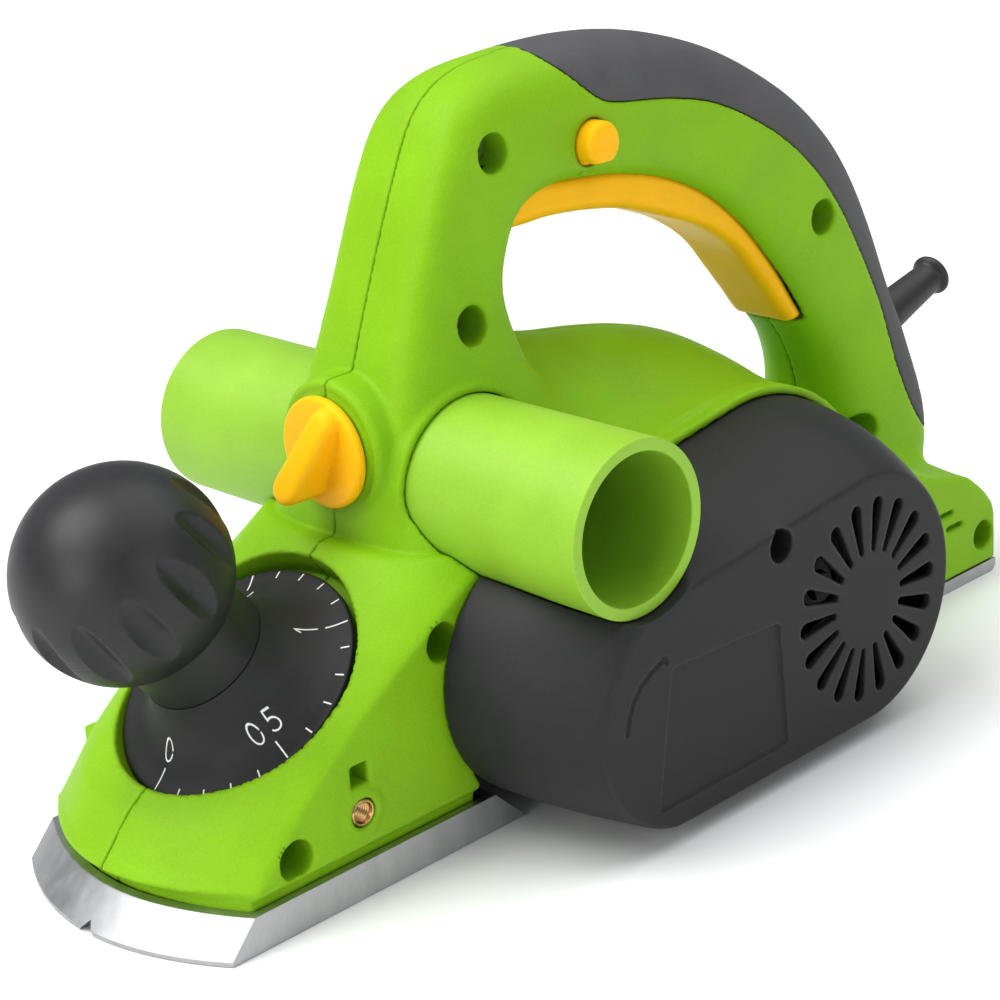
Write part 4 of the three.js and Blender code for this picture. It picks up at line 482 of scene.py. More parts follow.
def finish(name, colour, rough, metal=0.0, mottle=0.05, patch=25.0, grain=0.5, lift=0.02, stretch=(1, 1, 1),
           play=0.05, edge_highlight=0.0, shine=0.5):
    """A surface with fine grain, faint patches of colour, changing gloss and, when asked, a painted highlight on
    convex edges, sizes in millimetres.
    """
    material = bpy.data.materials.new(name)
    material.use_nodes = True
    nodes, links = material.node_tree.nodes, material.node_tree.links
    shader = nodes["Principled BSDF"]
    shader.inputs["Metallic"].default_value = metal
    shader.inputs["Specular IOR Level"].default_value = shine
    place = nodes.new("ShaderNodeTexCoord")
    drawn = nodes.new("ShaderNodeMapping")
    drawn.inputs["Scale"].default_value = stretch
    links.new(place.outputs["Object"], drawn.inputs["Vector"])
    patches = nodes.new("ShaderNodeTexNoise")
    patches.inputs["Scale"].default_value = 1000 / patch
    patches.inputs["Detail"].default_value = 4
    links.new(drawn.outputs["Vector"], patches.inputs["Vector"])
    shade = nodes.new("ShaderNodeMix")
    shade.data_type = "RGBA"
    shade.inputs["A"].default_value = (*[c * (1 - mottle) for c in colour], 1)
    shade.inputs["B"].default_value = (*[c * (1 + mottle) for c in colour], 1)
    grains = nodes.new("ShaderNodeTexNoise")
    grains.inputs["Scale"].default_value = 1000 / grain
    grains.inputs["Detail"].default_value = 2
    links.new(drawn.outputs["Vector"], grains.inputs["Vector"])
    speckle = nodes.new("ShaderNodeMath")
    speckle.operation = "MULTIPLY_ADD"
    links.new(grains.outputs["Fac"], speckle.inputs[0])
    speckle.inputs[1].default_value = 0.7
    links.new(patches.outputs["Fac"], speckle.inputs[2])
    centred = nodes.new("ShaderNodeMapRange")
    centred.inputs["From Min"].default_value, centred.inputs["From Max"].default_value = 0.5, 1.2
    links.new(speckle.outputs["Value"], centred.inputs["Value"])
    links.new(centred.outputs["Result"], shade.inputs["Factor"])
    top = shade.outputs["Result"]
    # painted highlight: convex edges, found by their pointiness, get a lighter colour
    if edge_highlight:
        shape = nodes.new("ShaderNodeNewGeometry")
        edge = nodes.new("ShaderNodeMapRange")
        for socket, value in zip(("From Min", "From Max", "To Min", "To Max"), (0.51, 0.58, 0.0, edge_highlight)):
            edge.inputs[socket].default_value = value
        highlit_edge = nodes.new("ShaderNodeMix")
        highlit_edge.data_type = "RGBA"
        highlit_edge.inputs["B"].default_value = (*[min(1, c * 1.5 + 0.08) for c in colour], 1)
        links.new(shape.outputs["Pointiness"], edge.inputs["Value"])
        links.new(edge.outputs["Result"], highlit_edge.inputs["Factor"])
        links.new(top, highlit_edge.inputs["A"])
        top = highlit_edge.outputs["Result"]
    links.new(top, shader.inputs["Base Color"])
    gloss = nodes.new("ShaderNodeMapRange")
    for socket, value in zip(("From Min", "From Max", "To Min", "To Max"), (0.3, 0.7, rough - play, rough + play)):
        gloss.inputs[socket].default_value = value
    links.new(patches.outputs["Fac"], gloss.inputs["Value"])
    links.new(gloss.outputs["Result"], shader.inputs["Roughness"])
    bump = nodes.new("ShaderNodeBump")
    bump.inputs["Strength"].default_value = 1
    bump.inputs["Distance"].default_value = lift * MM
    links.new(grains.outputs["Fac"], bump.inputs["Height"])
    links.new(bump.outputs["Normal"], shader.inputs["Normal"])
    return material


green_nylon = finish("green_nylon", (0.245, 0.485, 0.010), 0.48, mottle=0.11, patch=22, grain=0.6, lift=0.035,
                     shine=0.2)
for side, name in ((-1, "housing_left"), (1, "housing_right")):
    def half(x, y, z, side=side):
        return np.maximum(casing_shell(x, y, z), SEAM - side * y)
    low = (-226, -47, 2.5) if side < 0 else (-226, -1.5, 2.5)
    high = (93, 1.5, 191) if side < 0 else (93, 52, 191)
    casing = moulded(name + "_shell", half, low, high, 0.9, green_nylon)
    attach(casing, "planer_body")
    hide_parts(name)

# Soft back of the handle: thermoplastic rubber moulded over the casings in a shallow rebate, from the
# crest down to the tail. Its fine texture gives a hand hold, and a thin line parts it from the nylon.
soft_rubber = finish("soft_rubber", (0.098, 0.098, 0.100), 0.66, mottle=0.16, patch=14, grain=0.7, lift=0.04,
                     shine=0.35)


def grip_form(x, y, z):
    """A skin of the handle inside the grip's outline, open round the strain relief."""
    form = handle_form(x, y, z)
    edge = look_up(grip_table, x, z) + 0.22
    return blend_in(np.maximum(edge, 6.7 - sleeve_distance(x, y, z)), np.maximum(form, -form - GRIP), 0.5)


grip = moulded("handle_soft_back", grip_form, (-74, -22, 38), (94, 22, 191), 0.75, soft_rubber)
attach(grip, "planer_body")
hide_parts("handle_grip")

# Chip tubes: one green nylon tube laid across the casings, open at both ends, with a throat below that
# takes the chips from the cutter. It is trapped in the collars when the two casings are screwed together.
TUBE, TUBE_BORE, TUBE_END = 22.7, 19.4, 80.4


def eased(corners, radius=0.4, steps=3, closed=False):
    """A profile with its corners rounded."""
    corners = [np.array(c, float) for c in corners]
    made = []
    for i, corner in enumerate(corners):
        if not closed and i in (0, len(corners) - 1):
            made.append(corner)
            continue
        back, on = corners[i - 1] - corner, corners[(i + 1) % len(corners)] - corner
        near, far = np.linalg.norm(back), np.linalg.norm(on)
        start, end = corner + back * min(radius / near, 0.45), corner + on * min(radius / far, 0.45)
        for t in np.linspace(0, 1, steps + 1):
            made.append((1 - t) ** 2 * start + 2 * t * (1 - t) * corner + t * t * end)
    return np.array(made)


def framed(axis):
    """Two directions square to an axis."""
    axis = np.array(axis, float) / np.linalg.norm(axis)
    side = np.cross(axis, (0, 1, 0) if abs(axis[1]) < 0.9 else (1, 0, 0))
    side /= np.linalg.norm(side)
    return axis, side, np.cross(axis, side)


def shaped(name, points, faces, material, angle=35):
    """A piece from points in millimetres, smooth but for its sharp edges."""
    data = bpy.data.meshes.new(name)
    data.from_pydata([tuple(p * MM for p in point) for point in points], [], [tuple(f) for f in faces])
    work = bmesh.new()
    work.from_mesh(data)
    bmesh.ops.remove_doubles(work, verts=work.verts, dist=1e-6)
    bmesh.ops.recalc_face_normals(work, faces=work.faces)
    work.to_mesh(data)
    work.free()
    piece = bpy.data.objects.new(name, data)
    bpy.context.scene.collection.objects.link(piece)
    if material:
        data.materials.append(material)
    return softened(piece, angle)


def softened(piece, angle=35):
    """Smooth shading that keeps sharp edges and flat faces."""
    piece.data.shade_smooth()
    piece.data.set_sharp_from_angle(angle=math.radians(angle))
    if not piece.modifiers:
        piece.modifiers.new("flat_faces", "WEIGHTED_NORMAL").keep_sharp = True
    return piece


def turned(name, profile, base, axis, facets, material, closed=False, angle=35):
    """A piece turned on a lathe from (radius, height) points along an axis."""
    along, side, other = framed(axis)
    points, rows = [], []
    for radius, height in profile:
        foot = np.array(base, float) + along * height
        if radius < 1e-6:
            rows.append([len(points)] * facets)
            points.append(foot)
            continue
        rows.append(list(range(len(points), len(points) + facets)))
        for k in range(facets):
            turn = 2 * math.pi * k / facets
            points.append(foot + radius * (math.cos(turn) * side + math.sin(turn) * other))
    if closed:
        rows.append(rows[0])
    faces = []
    for low, high in zip(rows[:-1], rows[1:]):
        for k in range(facets):
            ring = [low[k], low[(k + 1) % facets], high[(k + 1) % facets], high[k]]
            ring = [v for i, v in enumerate(ring) if v != ring[i - 1]]
            if len(set(ring)) > 2:
                faces.append(ring)
    return shaped(name, points, faces, material, angle)


def bar(name, low, high):
    """A square-edged cutter between two corners."""
    corners = [(x, y, z) for x in (low[0], high[0]) for y in (low[1], high[1]) for z in (low[2], high[2])]
    return shaped(name, corners, [(0, 1, 3, 2), (4, 6, 7, 5), (0, 4, 5, 1), (2, 3, 7, 6), (0, 2, 6, 4),
                                  (1, 5, 7, 3)], None)


def combined(piece, how, *others):
    """Cuts or joins other shapes and keeps the result as the piece's own mesh."""
    piece.modifiers.clear()
    for other in others:
        other.modifiers.clear()
        step = piece.modifiers.new("cut", "BOOLEAN")
        step.operation, step.object, step.solver = how, other, "EXACT"
    bpy.context.view_layer.update()
    made = bpy.data.meshes.new_from_object(piece.evaluated_get(bpy.context.evaluated_depsgraph_get()))
    piece.modifiers.clear()
    piece.data = made
    for other in others:
        bpy.data.objects.remove(other)
    return softened(piece)


def cut_out(piece, *others):
    return combined(piece, "DIFFERENCE", *others)


def joined(piece, *others):
    return combined(piece, "UNION", *others)


def fitted(piece, body, slot, *nodes):
    """Fixes a piece to its body and hides the nodes that it stands for."""
    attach(piece, body)
    if nodes:
        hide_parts(*nodes)
    return piece


def dressed(material, *nodes):
    """Gives nodes of the frame their finish."""
    for node in nodes:
        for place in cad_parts[node].material_slots:
            place.material = material


FACETS = 128
# tube_green is paler than the casings' green: partly a powdery bloom on the tube, partly a painted sheen
tube_green = finish("tube_green", (0.285, 0.52, 0.032), 0.52, mottle=0.1, patch=22, grain=0.6, lift=0.03, shine=0.6)
tube_profile = eased([(TUBE_BORE, -TUBE_END), (TUBE, -TUBE_END), (TUBE, TUBE_END - 3), (TUBE_BORE, TUBE_END - 3)],
                     0.55, 3, True)
tube = turned("chip_tube", tube_profile, (DUCT[0], 0, DUCT[1]), (0, 1, 0), FACETS, tube_green, True)
throat = bar("throat_cut", (DUCT[0] - 9.4, -13.4, 50), (DUCT[0] + 9.4, 13.4, DUCT[1]))
shaft_hole = turned("shaft_cut", [(0, 0), (3.3, 0), (3.3, 26), (0, 26)], (-137, 0, SELECTOR_Z), (1, 0, 0), 24, None)
fitted(cut_out(tube, throat, shaft_hole), "planer_body", "green_plastic", "chip_duct")

# Chip selector: a yellow nylon knob on the front of the post, with a finger bar that stands out further at
# its foot. It turns a black flap in the tube, so the chips leave on the left or on the right.
SELECTOR_FACE = -137.9
SELECTOR_TURN = math.radians(25)
SELECTOR_DISC, SELECTOR_DEPTH = 14.7, 2.9
yellow_nylon = finish("yellow_nylon", (1.0, 0.54, 0.008), 0.42, mottle=0.07, patch=16, grain=0.5, lift=0.014,
                      shine=0.16)


def selector_form(x, y, z):
    """The disc and its finger bar."""
    up = z - SELECTOR_Z
    across = y * math.cos(SELECTOR_TURN) + up * math.sin(SELECTOR_TURN)
    up = up * math.cos(SELECTOR_TURN) - y * math.sin(SELECTOR_TURN)
    out = SELECTOR_FACE - SELECTOR_DEPTH - x
    disc = blend_in(np.hypot(across, up) - SELECTOR_DISC, np.maximum(out, -out - SELECTOR_DEPTH), 1.3)
    end = np.maximum(np.maximum(up - 10.3, -7.8 - up), 0)
    side = np.hypot(across, end) - 4.9 + 0.03 * np.maximum(out, 0) + 0.05 * (up + 11)
    front = (out - 7.7 + 0.34 * up) * 0.95
    grip = blend_in(side, np.maximum(front, -out - 2), 2.7)
    return blend_out(disc, grip, 0.5)


selector = moulded("chip_selector_grip", selector_form, (-154, -17, 80), (-137, 17, 116), 0.4, yellow_nylon)
fitted(selector, "chip_selector", "yellow_plastic", "chip_selector_knob")
black_nylon = finish("black_nylon", (0.028, 0.028, 0.030), 0.5, mottle=0.1, patch=14, grain=0.5, lift=0.02)
dressed(black_nylon, "chip_deflector")

# Depth dial: a black plastic skirt that flares out of the knob's neck to a flat rim, with white hot-stamped
# strokes and numbers. It is pressed on the spindle, turns in a pocket of the casings, and shows the cut.
RIM, RIM_DEPTH, NECK, NECK_TOP = 34.0, 2.6, 17.2, 15.25
knob_black = finish("knob_black", (0.024, 0.024, 0.025), 0.42, mottle=0.25, patch=12, grain=0.45, lift=0.016,
                    shine=0.45)
dial_black = finish("dial_black", (0.030, 0.030, 0.031), 0.52, mottle=0.2, patch=9, grain=0.45, lift=0.016, shine=0.3)
flare = flowing([(33.3, 0.0), (29.6, 0.75), (26.2, 2.1), (23.2, 4.3), (20.2, 8.0), (18.3, 11.8), (NECK, NECK_TOP)], 6)
dial_profile = np.vstack([
    [(4.3, -RIM_DEPTH), (RIM - 0.5, -RIM_DEPTH), (RIM, -RIM_DEPTH + 0.5), (RIM, -0.5), (RIM - 0.2, -0.15)],
    flare, [(4.3, NECK_TOP)]])
dial = turned("depth_dial_skirt", dial_profile, DIAL, SPINDLE, FACETS, dial_black, True, 50)
fitted(dial, "depth_knob", "knob_plastic", "depth_dial")

stamp_white = finish("stamp_white", (0.82, 0.82, 0.80), 0.55, mottle=0.08, patch=3, grain=0.3, lift=0.01)
DIAL_ZERO, DIAL_STEP, STROKE = math.radians(3.9), math.radians(14.4), 0.42
surface = np.vstack([flare[::-1], [(RIM, -0.1)]])
ring_x, ring_y = np.array([-math.cos(TILT), 0, -math.sin(TILT)]), np.array([0.0, 1.0, 0.0])


def numeral(sign):
    """Strokes of a numeral, 4 units wide and 6.4 high."""
    oval = [(2 + 1.75 * math.cos(t), 3.2 + 3.1 * math.sin(t)) for t in np.linspace(0, 2 * math.pi, 25)]
    bowl = [(1.7 + 1.95 * math.cos(t), 2.1 + 2.0 * math.sin(t)) for t in np.linspace(1.9, -2.6, 16)]
    head = [(2.0 + 1.7 * math.cos(t), 4.6 + 1.7 * math.sin(t)) for t in np.linspace(2.9, -0.5, 12)]
    return {"0": oval, "5": [(3.6, 6.3), (1.1, 6.3), (0.7, 3.7)] + bowl, "1": [(0.8, 4.9), (2.2, 6.3), (2.2, 0.1)],
            "2": head + [(0.3, 0.1), (3.8, 0.1)]}[sign]


def on_dial(angle, reach, lift):
    """A point over the dial's flare."""
    out = math.cos(angle) * ring_x + math.sin(angle) * ring_y
    height = np.interp(reach, surface[:, 0], surface[:, 1])
    return DIAL + reach * out + (height + lift) * SPINDLE


def stroke(angle, line, points, faces):
    """One stroke laid on the dial: line holds (across, reach) points beside a radius."""
    line = np.array(line, float)
    fine = [line[0]]
    for a, b in zip(line[:-1], line[1:]):
        count = max(1, int(np.ceil(np.linalg.norm(b - a) / 0.6)))
        fine += [a + (b - a) * (k + 1) / count for k in range(count)]
    fine = np.array(fine)
    heading = np.gradient(fine, axis=0)
    heading /= np.maximum(np.linalg.norm(heading, axis=1, keepdims=True), 1e-9)
    if np.allclose(fine[0], fine[-1]):
        heading[0] = heading[-1] = (heading[0] + heading[-1]) / np.linalg.norm(heading[0] + heading[-1])
    start = len(points)
    for (across, reach), (hx, hy) in zip(fine, heading):
        for side in (-1, 1):
            u, v = across - side * hy * STROKE / 2, reach + side * hx * STROKE / 2
            turn, far = angle + math.atan2(u, v), math.hypot(u, v)
            points += [on_dial(turn, far, 0.07), on_dial(turn, far, -0.12)]
    for k in range(len(fine) - 1):
        a, b = start + 4 * k, start + 4 * k + 4
        faces += [(a, a + 2, b + 2, b), (a + 1, b + 1, b + 3, a + 3),
                  (a, b, b + 1, a + 1), (a + 2, a + 3, b + 3, b + 2)]
    last = start + 4 * (len(fine) - 1)
    faces += [(start, start + 1, start + 3, start + 2), (last, last + 2, last + 3, last + 1)]


marks, mark_faces = [], []
for k in range(21):
    stroke(DIAL_ZERO - k * DIAL_STEP, [(0, 33.3), (0, 27.6 if k % 5 == 0 else 31.0)], marks, mark_faces)
for turns, signs in ((0, "0"), (5, "05"), (10, "1"), (15, "15"), (20, "2")):
    for place, sign in enumerate(signs):
        shift = (place - (len(signs) - 1) / 2) * 5.4
        stroke(DIAL_ZERO - turns * DIAL_STEP, [(-(0.8 * u - 1.6 + shift), 26.0 - v * 0.72) for u, v in numeral(sign)],
               marks, mark_faces)
fitted(shaped("dial_marks", marks, mark_faces, stamp_white, 60), "depth_knob", "knob_plastic")

# Depth knob: a hollow black ball grip in two moulded halves with twelve finger scoops and a parting line.
# Its collar is pressed on the steel spindle above the dial, and a dark groove runs under the ball.
BALL, BALL_UP, BALL_HALF, BALL_FOOT = 27.2, 49.4, 26.55, 0.82
SCOOPS, SCOOP_TURN, SCOOP_DEEP, SCOOP_HALF, SCOOP_REACH = 12, math.radians(-64), 2.6, 4.1, 11.6
rows = 190
spokes = 384
latitudes = np.linspace(-math.pi / 2 + BALL_FOOT, math.pi / 2, rows)
azimuths = np.arange(spokes) * 2 * math.pi / spokes
tall, turn = np.meshgrid(latitudes, azimuths, indexing="ij")
pitch = 2 * math.pi / SCOOPS
beside = ((turn - SCOOP_TURN + pitch / 2) % pitch - pitch / 2) * BALL * np.cos(tall)
along = (tall - 0.07) * BALL
dip = SCOOP_DEEP * np.maximum(1 - (beside / SCOOP_HALF) ** 2 - (along / SCOOP_REACH) ** 2, 0)
dip = dip + 0.12 * np.exp(-((tall * BALL) / 0.16) ** 2)
reach = BALL - dip
flat_out, height = reach * np.cos(tall), BALL_UP + (BALL_HALF - dip) * np.sin(tall)
ball_points = (DIAL + flat_out[..., None] * (np.cos(turn)[..., None] * ring_x + np.sin(turn)[..., None] * ring_y)
               + height[..., None] * SPINDLE).reshape(-1, 3)
lines = np.arange(rows * spokes).reshape(rows, spokes)
ball_faces = np.stack([lines[:-1], np.roll(lines[:-1], -1, 1), np.roll(lines[1:], -1, 1), lines[1:]], -1)
collar = [(BALL * math.cos(latitudes[0]), BALL_UP + BALL_HALF * math.sin(latitudes[0])), (19.0, 32.4), (19.0, 35.4),
          (17.0, 35.4), (17.0, 15.6), (16.8, 15.4), (4.3, 15.4), (4.3, 30.3), (0, 30.3)]
points, faces = [tuple(p) for p in ball_points], [tuple(f) for f in ball_faces.reshape(-1, 4)]
previous = list(lines[0])
for radius, up in collar[1:]:
    here = list(range(len(points), len(points) + spokes)) if radius else [len(points)] * spokes
    for k in range(spokes if radius else 1):
        points.append(tuple(DIAL + radius * (math.cos(azimuths[k]) * ring_x + math.sin(azimuths[k]) * ring_y)
                            + up * SPINDLE))
    for k in range(spokes):
        ring = [previous[k], previous[(k + 1) % spokes], here[(k + 1) % spokes], here[k]]
        faces.append(ring if radius else ring[:3])
    previous = here
ball = shaped("depth_knob_ball", points, faces, knob_black, 40)
fitted(ball, "depth_knob", "knob_plastic", "depth_knob")
bright_steel = finish("bright_steel", (0.55, 0.55, 0.56), 0.3, 1.0, mottle=0.08, patch=6, grain=0.3, lift=0.006)
dressed(bright_steel, "depth_spindle")

# Front shoe: an aluminium casting with a milled sole, a long front bevel and a V groove along the sole for
# corners. It slides on two guide pins and is raised by the spindle, so the front sole sets the cut.
SHOE_REAR, SHOE_CORNER, SHOE_BOW = -117.0, -215.0, 12.7
SHOE_RIM, SHOE_TOP, SHOE_BEVEL = 1.4, 10.0, 8.0
milled_aluminium = finish("milled_aluminium", (0.48, 0.48, 0.49), 0.42, 1.0, mottle=0.1, patch=7, grain=0.45,
                          lift=0.02, stretch=(1.6, 1.6, 0.2), play=0.05)
cast_aluminium = finish("cast_aluminium", (0.50, 0.50, 0.51), 0.5, 1.0, mottle=0.15, patch=4, grain=0.8, lift=0.06,
                        play=0.08)
bow = 64


def shoe_line(height, front, rear, inset):
    """The shoe's outline at a height: a bowed front edge and a straight rear edge."""
    sides = np.linspace(1, -1, bow + 1)
    line = [(SHOE_CORNER - SHOE_BOW + front + SHOE_BOW * s * s, s * (HALF_SOLE - inset), height) for s in sides]
    return line + [(rear, -(HALF_SOLE - inset), height), (rear, HALF_SOLE - inset, height)]


def lofted(name, loops, material):
    """A solid through a row of closed loops with the same number of points."""
    count = len(loops[0])
    faces = [tuple(range(count)), tuple(range((len(loops) - 1) * count, len(loops) * count))]
    for row in range(len(loops) - 1):
        for k in range(count):
            a, b = row * count + k, row * count + (k + 1) % count
            faces.append((a, b, b + count, a + count))
    return shaped(name, [p for loop in loops for p in loop], faces, material, 25)


shoe = lofted("front_shoe_plate", [
    shoe_line(0, 0.3, SHOE_REAR - 0.3, 0.3), shoe_line(0.3, 0, SHOE_REAR, 0),
    shoe_line(SHOE_RIM, 0, SHOE_REAR - 1.1, 0), shoe_line(SHOE_TOP - 0.5, SHOE_BEVEL - 0.4, -126.5, 0),
    shoe_line(SHOE_TOP - 0.12, SHOE_BEVEL - 0.1, -126.9, 0.12), shoe_line(SHOE_TOP, SHOE_BEVEL + 0.3, -127.0, 0.5)],
    milled_aluminium)
GUIDE_SIDE = 25.2  # guide pins, off the centre plane
boss = turned("spindle_boss", [(0, 0), (8.5, 0), (8.5, 24.2), (8.0, 24.7), (0, 24.7)], DIAL - 50.4 * SPINDLE, SPINDLE,
              48, None)
vee = shaped("vee_cut", [(x, y, z) for x in (-240, -100) for y, z in ((-3.2, -0.01), (0, 3.2), (3.2, -0.01), (0, -3))],
             [(0, 1, 2, 3), (4, 7, 6, 5), (0, 4, 5, 1), (1, 5, 6, 2), (2, 6, 7, 3), (3, 7, 4, 0)], None)
below = bar("below_cut", (-205, -20, -20), (-120, 20, 4))
spindle_hole = turned("spindle_cut", [(0, 0), (4.7, 0), (4.7, 60), (0, 60)], DIAL - 49 * SPINDLE, SPINDLE, 32, None)
guide_holes = [turned("guide_cut", [(0, 0), (3.9, 0), (3.9, 20), (0, 20)],
                      np.array([DIAL[0] + 18.7, side * GUIDE_SIDE, 12.6]) - 7.3 * SPINDLE, SPINDLE, 32, None)
               for side in (-1, 1)]
boss = cut_out(boss, below)
tray = lofted("tray_cut", [shoe_line(z, 10.4, -129.5, 2.3) for z in (7, 12)], None)
seats = [turned("guide_seat", [(0, 5), (7.5, 5), (7.5, 9.9), (0, 9.9)], (-152.8, side * GUIDE_SIDE, 0), (0, 0, 1),
                40, None) for side in (-1, 1)]
shoe = cut_out(joined(cut_out(shoe, tray), boss, *seats), vee, spindle_hole, *guide_holes)
fitted(shoe, "front_shoe", "shoe_aluminium", "front_shoe")
dressed(bright_steel, "shoe_guide_pin_left", "shoe_guide_pin_right")

# Rear shoe: a flat milled aluminium sole screwed up into two bosses of the casings. Its ends are bevelled,
# and two countersunk screws hold it flush.
SOLE_SCREWS = (-66.1, 62.0)
rear_outline = [(-91, 1.2), (-90.4, 0.3), (-90, 0), (88.9, 0), (90.2, 0.7), (91, 1.9), (91, 3.7), (90.7, 4),
                (-87.7, 4), (-88.2, 3.8)]
sole = lofted("rear_shoe_plate", [[(x, y, z) for x, z in rear_outline] for y in (-41, 41)], milled_aluminium)
sink_profile = [(0, -0.5), (5.1, -0.5), (4.6, 0), (2.05, 2.9), (2.05, 8), (0, 8)]
sinks = [turned("sink_cut", sink_profile, (x, 0, 0), (0, 0, 1), 32, None) for x in SOLE_SCREWS]
fitted(cut_out(sole, *sinks), "planer_body", "shoe_aluminium", "rear_shoe")


def cross_cut(place, axis, depth, reach):
    """A cross recess cutter that tapers into a screw head."""
    along, side, other = framed(axis)
    points, faces = [], []
    for a, b in ((side, other), (other, -side)):
        start = len(points)
        for up, half, wide in ((-0.4, reach * 1.08, 0.5), (depth, reach * 0.45, 0.34)):
            for u, v in ((-1, -1), (1, -1), (1, 1), (-1, 1)):
                points.append(np.array(place) + along * up + a * u * half + b * v * wide)
        faces += [tuple(start + i for i in f) for f in
                  ((0, 1, 2, 3), (4, 7, 6, 5), (0, 4, 5, 1), (1, 5, 6, 2), (2, 6, 7, 3), (3, 7, 4, 0))]
    return [shaped("cross_cut", points[8 * k:8 * k + 8], [tuple(i - 8 * k for i in f) for f in faces[6 * k:6 * k + 6]],
                   None) for k in (0, 1)]


screw_profile = eased([(0, 0.3), (3.7, 0.3), (1.75, 2.9), (1.75, 13.7), (0, 13.7)], 0.15, 2)
for number, x in enumerate(SOLE_SCREWS, 1):
    screw = turned("sole_screw_" + str(number), screw_profile, (x, 0, 0), (0, 0, 1), 32, bright_steel)
    cut_out(screw, *cross_cut((x, 0, 0.3), (0, 0, 1), 1.7, 2.0))
    fitted(screw, "planer_body", "steel", "rear_shoe_screw_" + str(number))

# Cutter: a turned aluminium drum on two bearings with two ground steel blades. Each blade lies in a slot and
# is held by a clamp bar in front of a chip gullet.
DRUM, BLADE_TURN = 25.0, math.radians(69)
drum_edge = []
for k in range(2):
    turn = BLADE_TURN + k * math.pi
    slot = [(-1.8, math.sqrt(DRUM ** 2 - 1.8 ** 2)), (-1.8, 15.4), (1.8, 15.4), (1.8, 13.4), (8.1, 13.4), (8.1, 20.0),
            (12.1, 20.0), (12.5, math.sqrt(DRUM ** 2 - 12.5 ** 2))]
    drum_edge += [(CUTTER[0] + u * math.cos(turn) + v * math.sin(turn),
                   CUTTER[1] - u * math.sin(turn) + v * math.cos(turn)) for u, v in slot]
    first = math.atan2(12.5, math.sqrt(DRUM ** 2 - 12.5 ** 2)) + turn
    last = BLADE_TURN + (k + 1) * math.pi - math.atan2(1.8, DRUM)
    drum_edge += [(CUTTER[0] + DRUM * math.sin(t), CUTTER[1] + DRUM * math.cos(t))
                  for t in np.linspace(first, last, 34)[1:-1]]
drum = lofted("cutter_drum_body", [[(x, y, z) for x, z in drum_edge] for y in (-40.15, 40.15)], milled_aluminium)
stubs = [turned("drum_stub", eased([(0, a), (6, a), (6, b), (0, b)], 0.5, 2), (CUTTER[0], 0, CUTTER[1]), (0, 1, 0), 40,
                None) for a, b in ((-74.0, -38), (38, 48.9))]
fitted(joined(drum, *stubs), "cutter", "shoe_aluminium", "cutter_drum")
ground_steel = finish("ground_steel", (0.50, 0.50, 0.52), 0.24, 1.0, mottle=0.1, patch=5, grain=0.35, lift=0.01,
                      stretch=(1, 0.2, 1))
dark_steel = finish("dark_steel", (0.12, 0.12, 0.13), 0.42, 1.0, mottle=0.18, patch=6, grain=0.5, lift=0.02)
dressed(ground_steel, "blade_1", "blade_2")
dressed(dark_steel, "blade_clamp_1", "blade_clamp_2")

# Bearings and plates: the drum runs in two sealed ball bearings, one in a cast bridge behind the belt and one
# in a cast end plate on the far side. The bridge also holds the motor's front bearing.
bearing_steel = finish("bearing_steel", (0.58, 0.58, 0.60), 0.22, 1.0, mottle=0.06, patch=5, grain=0.3, lift=0.004)
seal_black = finish("seal_black", (0.03, 0.03, 0.032), 0.6, mottle=0.1, patch=3, grain=0.3, lift=0.01)


def ball_bearing(name, place, bore, outer, width, body, node):
    """Two steel rings with black seals between them."""
    mid = (outer + bore) / 2
    wall = (outer - bore) * 0.22
    inner, rim = bore + wall, outer - wall
    profile = [(bore, 0), (inner, 0), (inner, 0.5), (rim, 0.5), (rim, 0), (outer, 0), (outer, width), (rim, width),
               (rim, width - 0.5), (inner, width - 0.5), (inner, width), (bore, width)]
    rings = turned(name, eased(profile, 0.3, 2, True), place, (0, 1, 0), 48, bearing_steel, True)
    rings.data.materials.append(seal_black)
    for face in rings.data.polygons:
        spot = face.center / MM
        if abs(math.hypot(spot.x - place[0], spot.z - place[2]) - mid) < (outer - bore) / 2 - wall:
            face.material_index = 1
    fitted(rings, body, "steel", node)


for name, y in (("left", -49.0), ("right", 41.6)):
    ball_bearing("drum_bearing_" + name + "_rings", (CUTTER[0], y, CUTTER[1]), 6.3, 14, 7.4, "planer_body",
                 "drum_bearing_" + name)
for name, y in (("left", -48.3), ("right", 39.5)):
    ball_bearing("motor_bearing_" + name + "_rings", (MOTOR[0], y, MOTOR[1]), 4.3, 11, 7.0, "planer_body",
                 "motor_bearing_" + name)
dressed(cast_aluminium, "bearing_bridge")


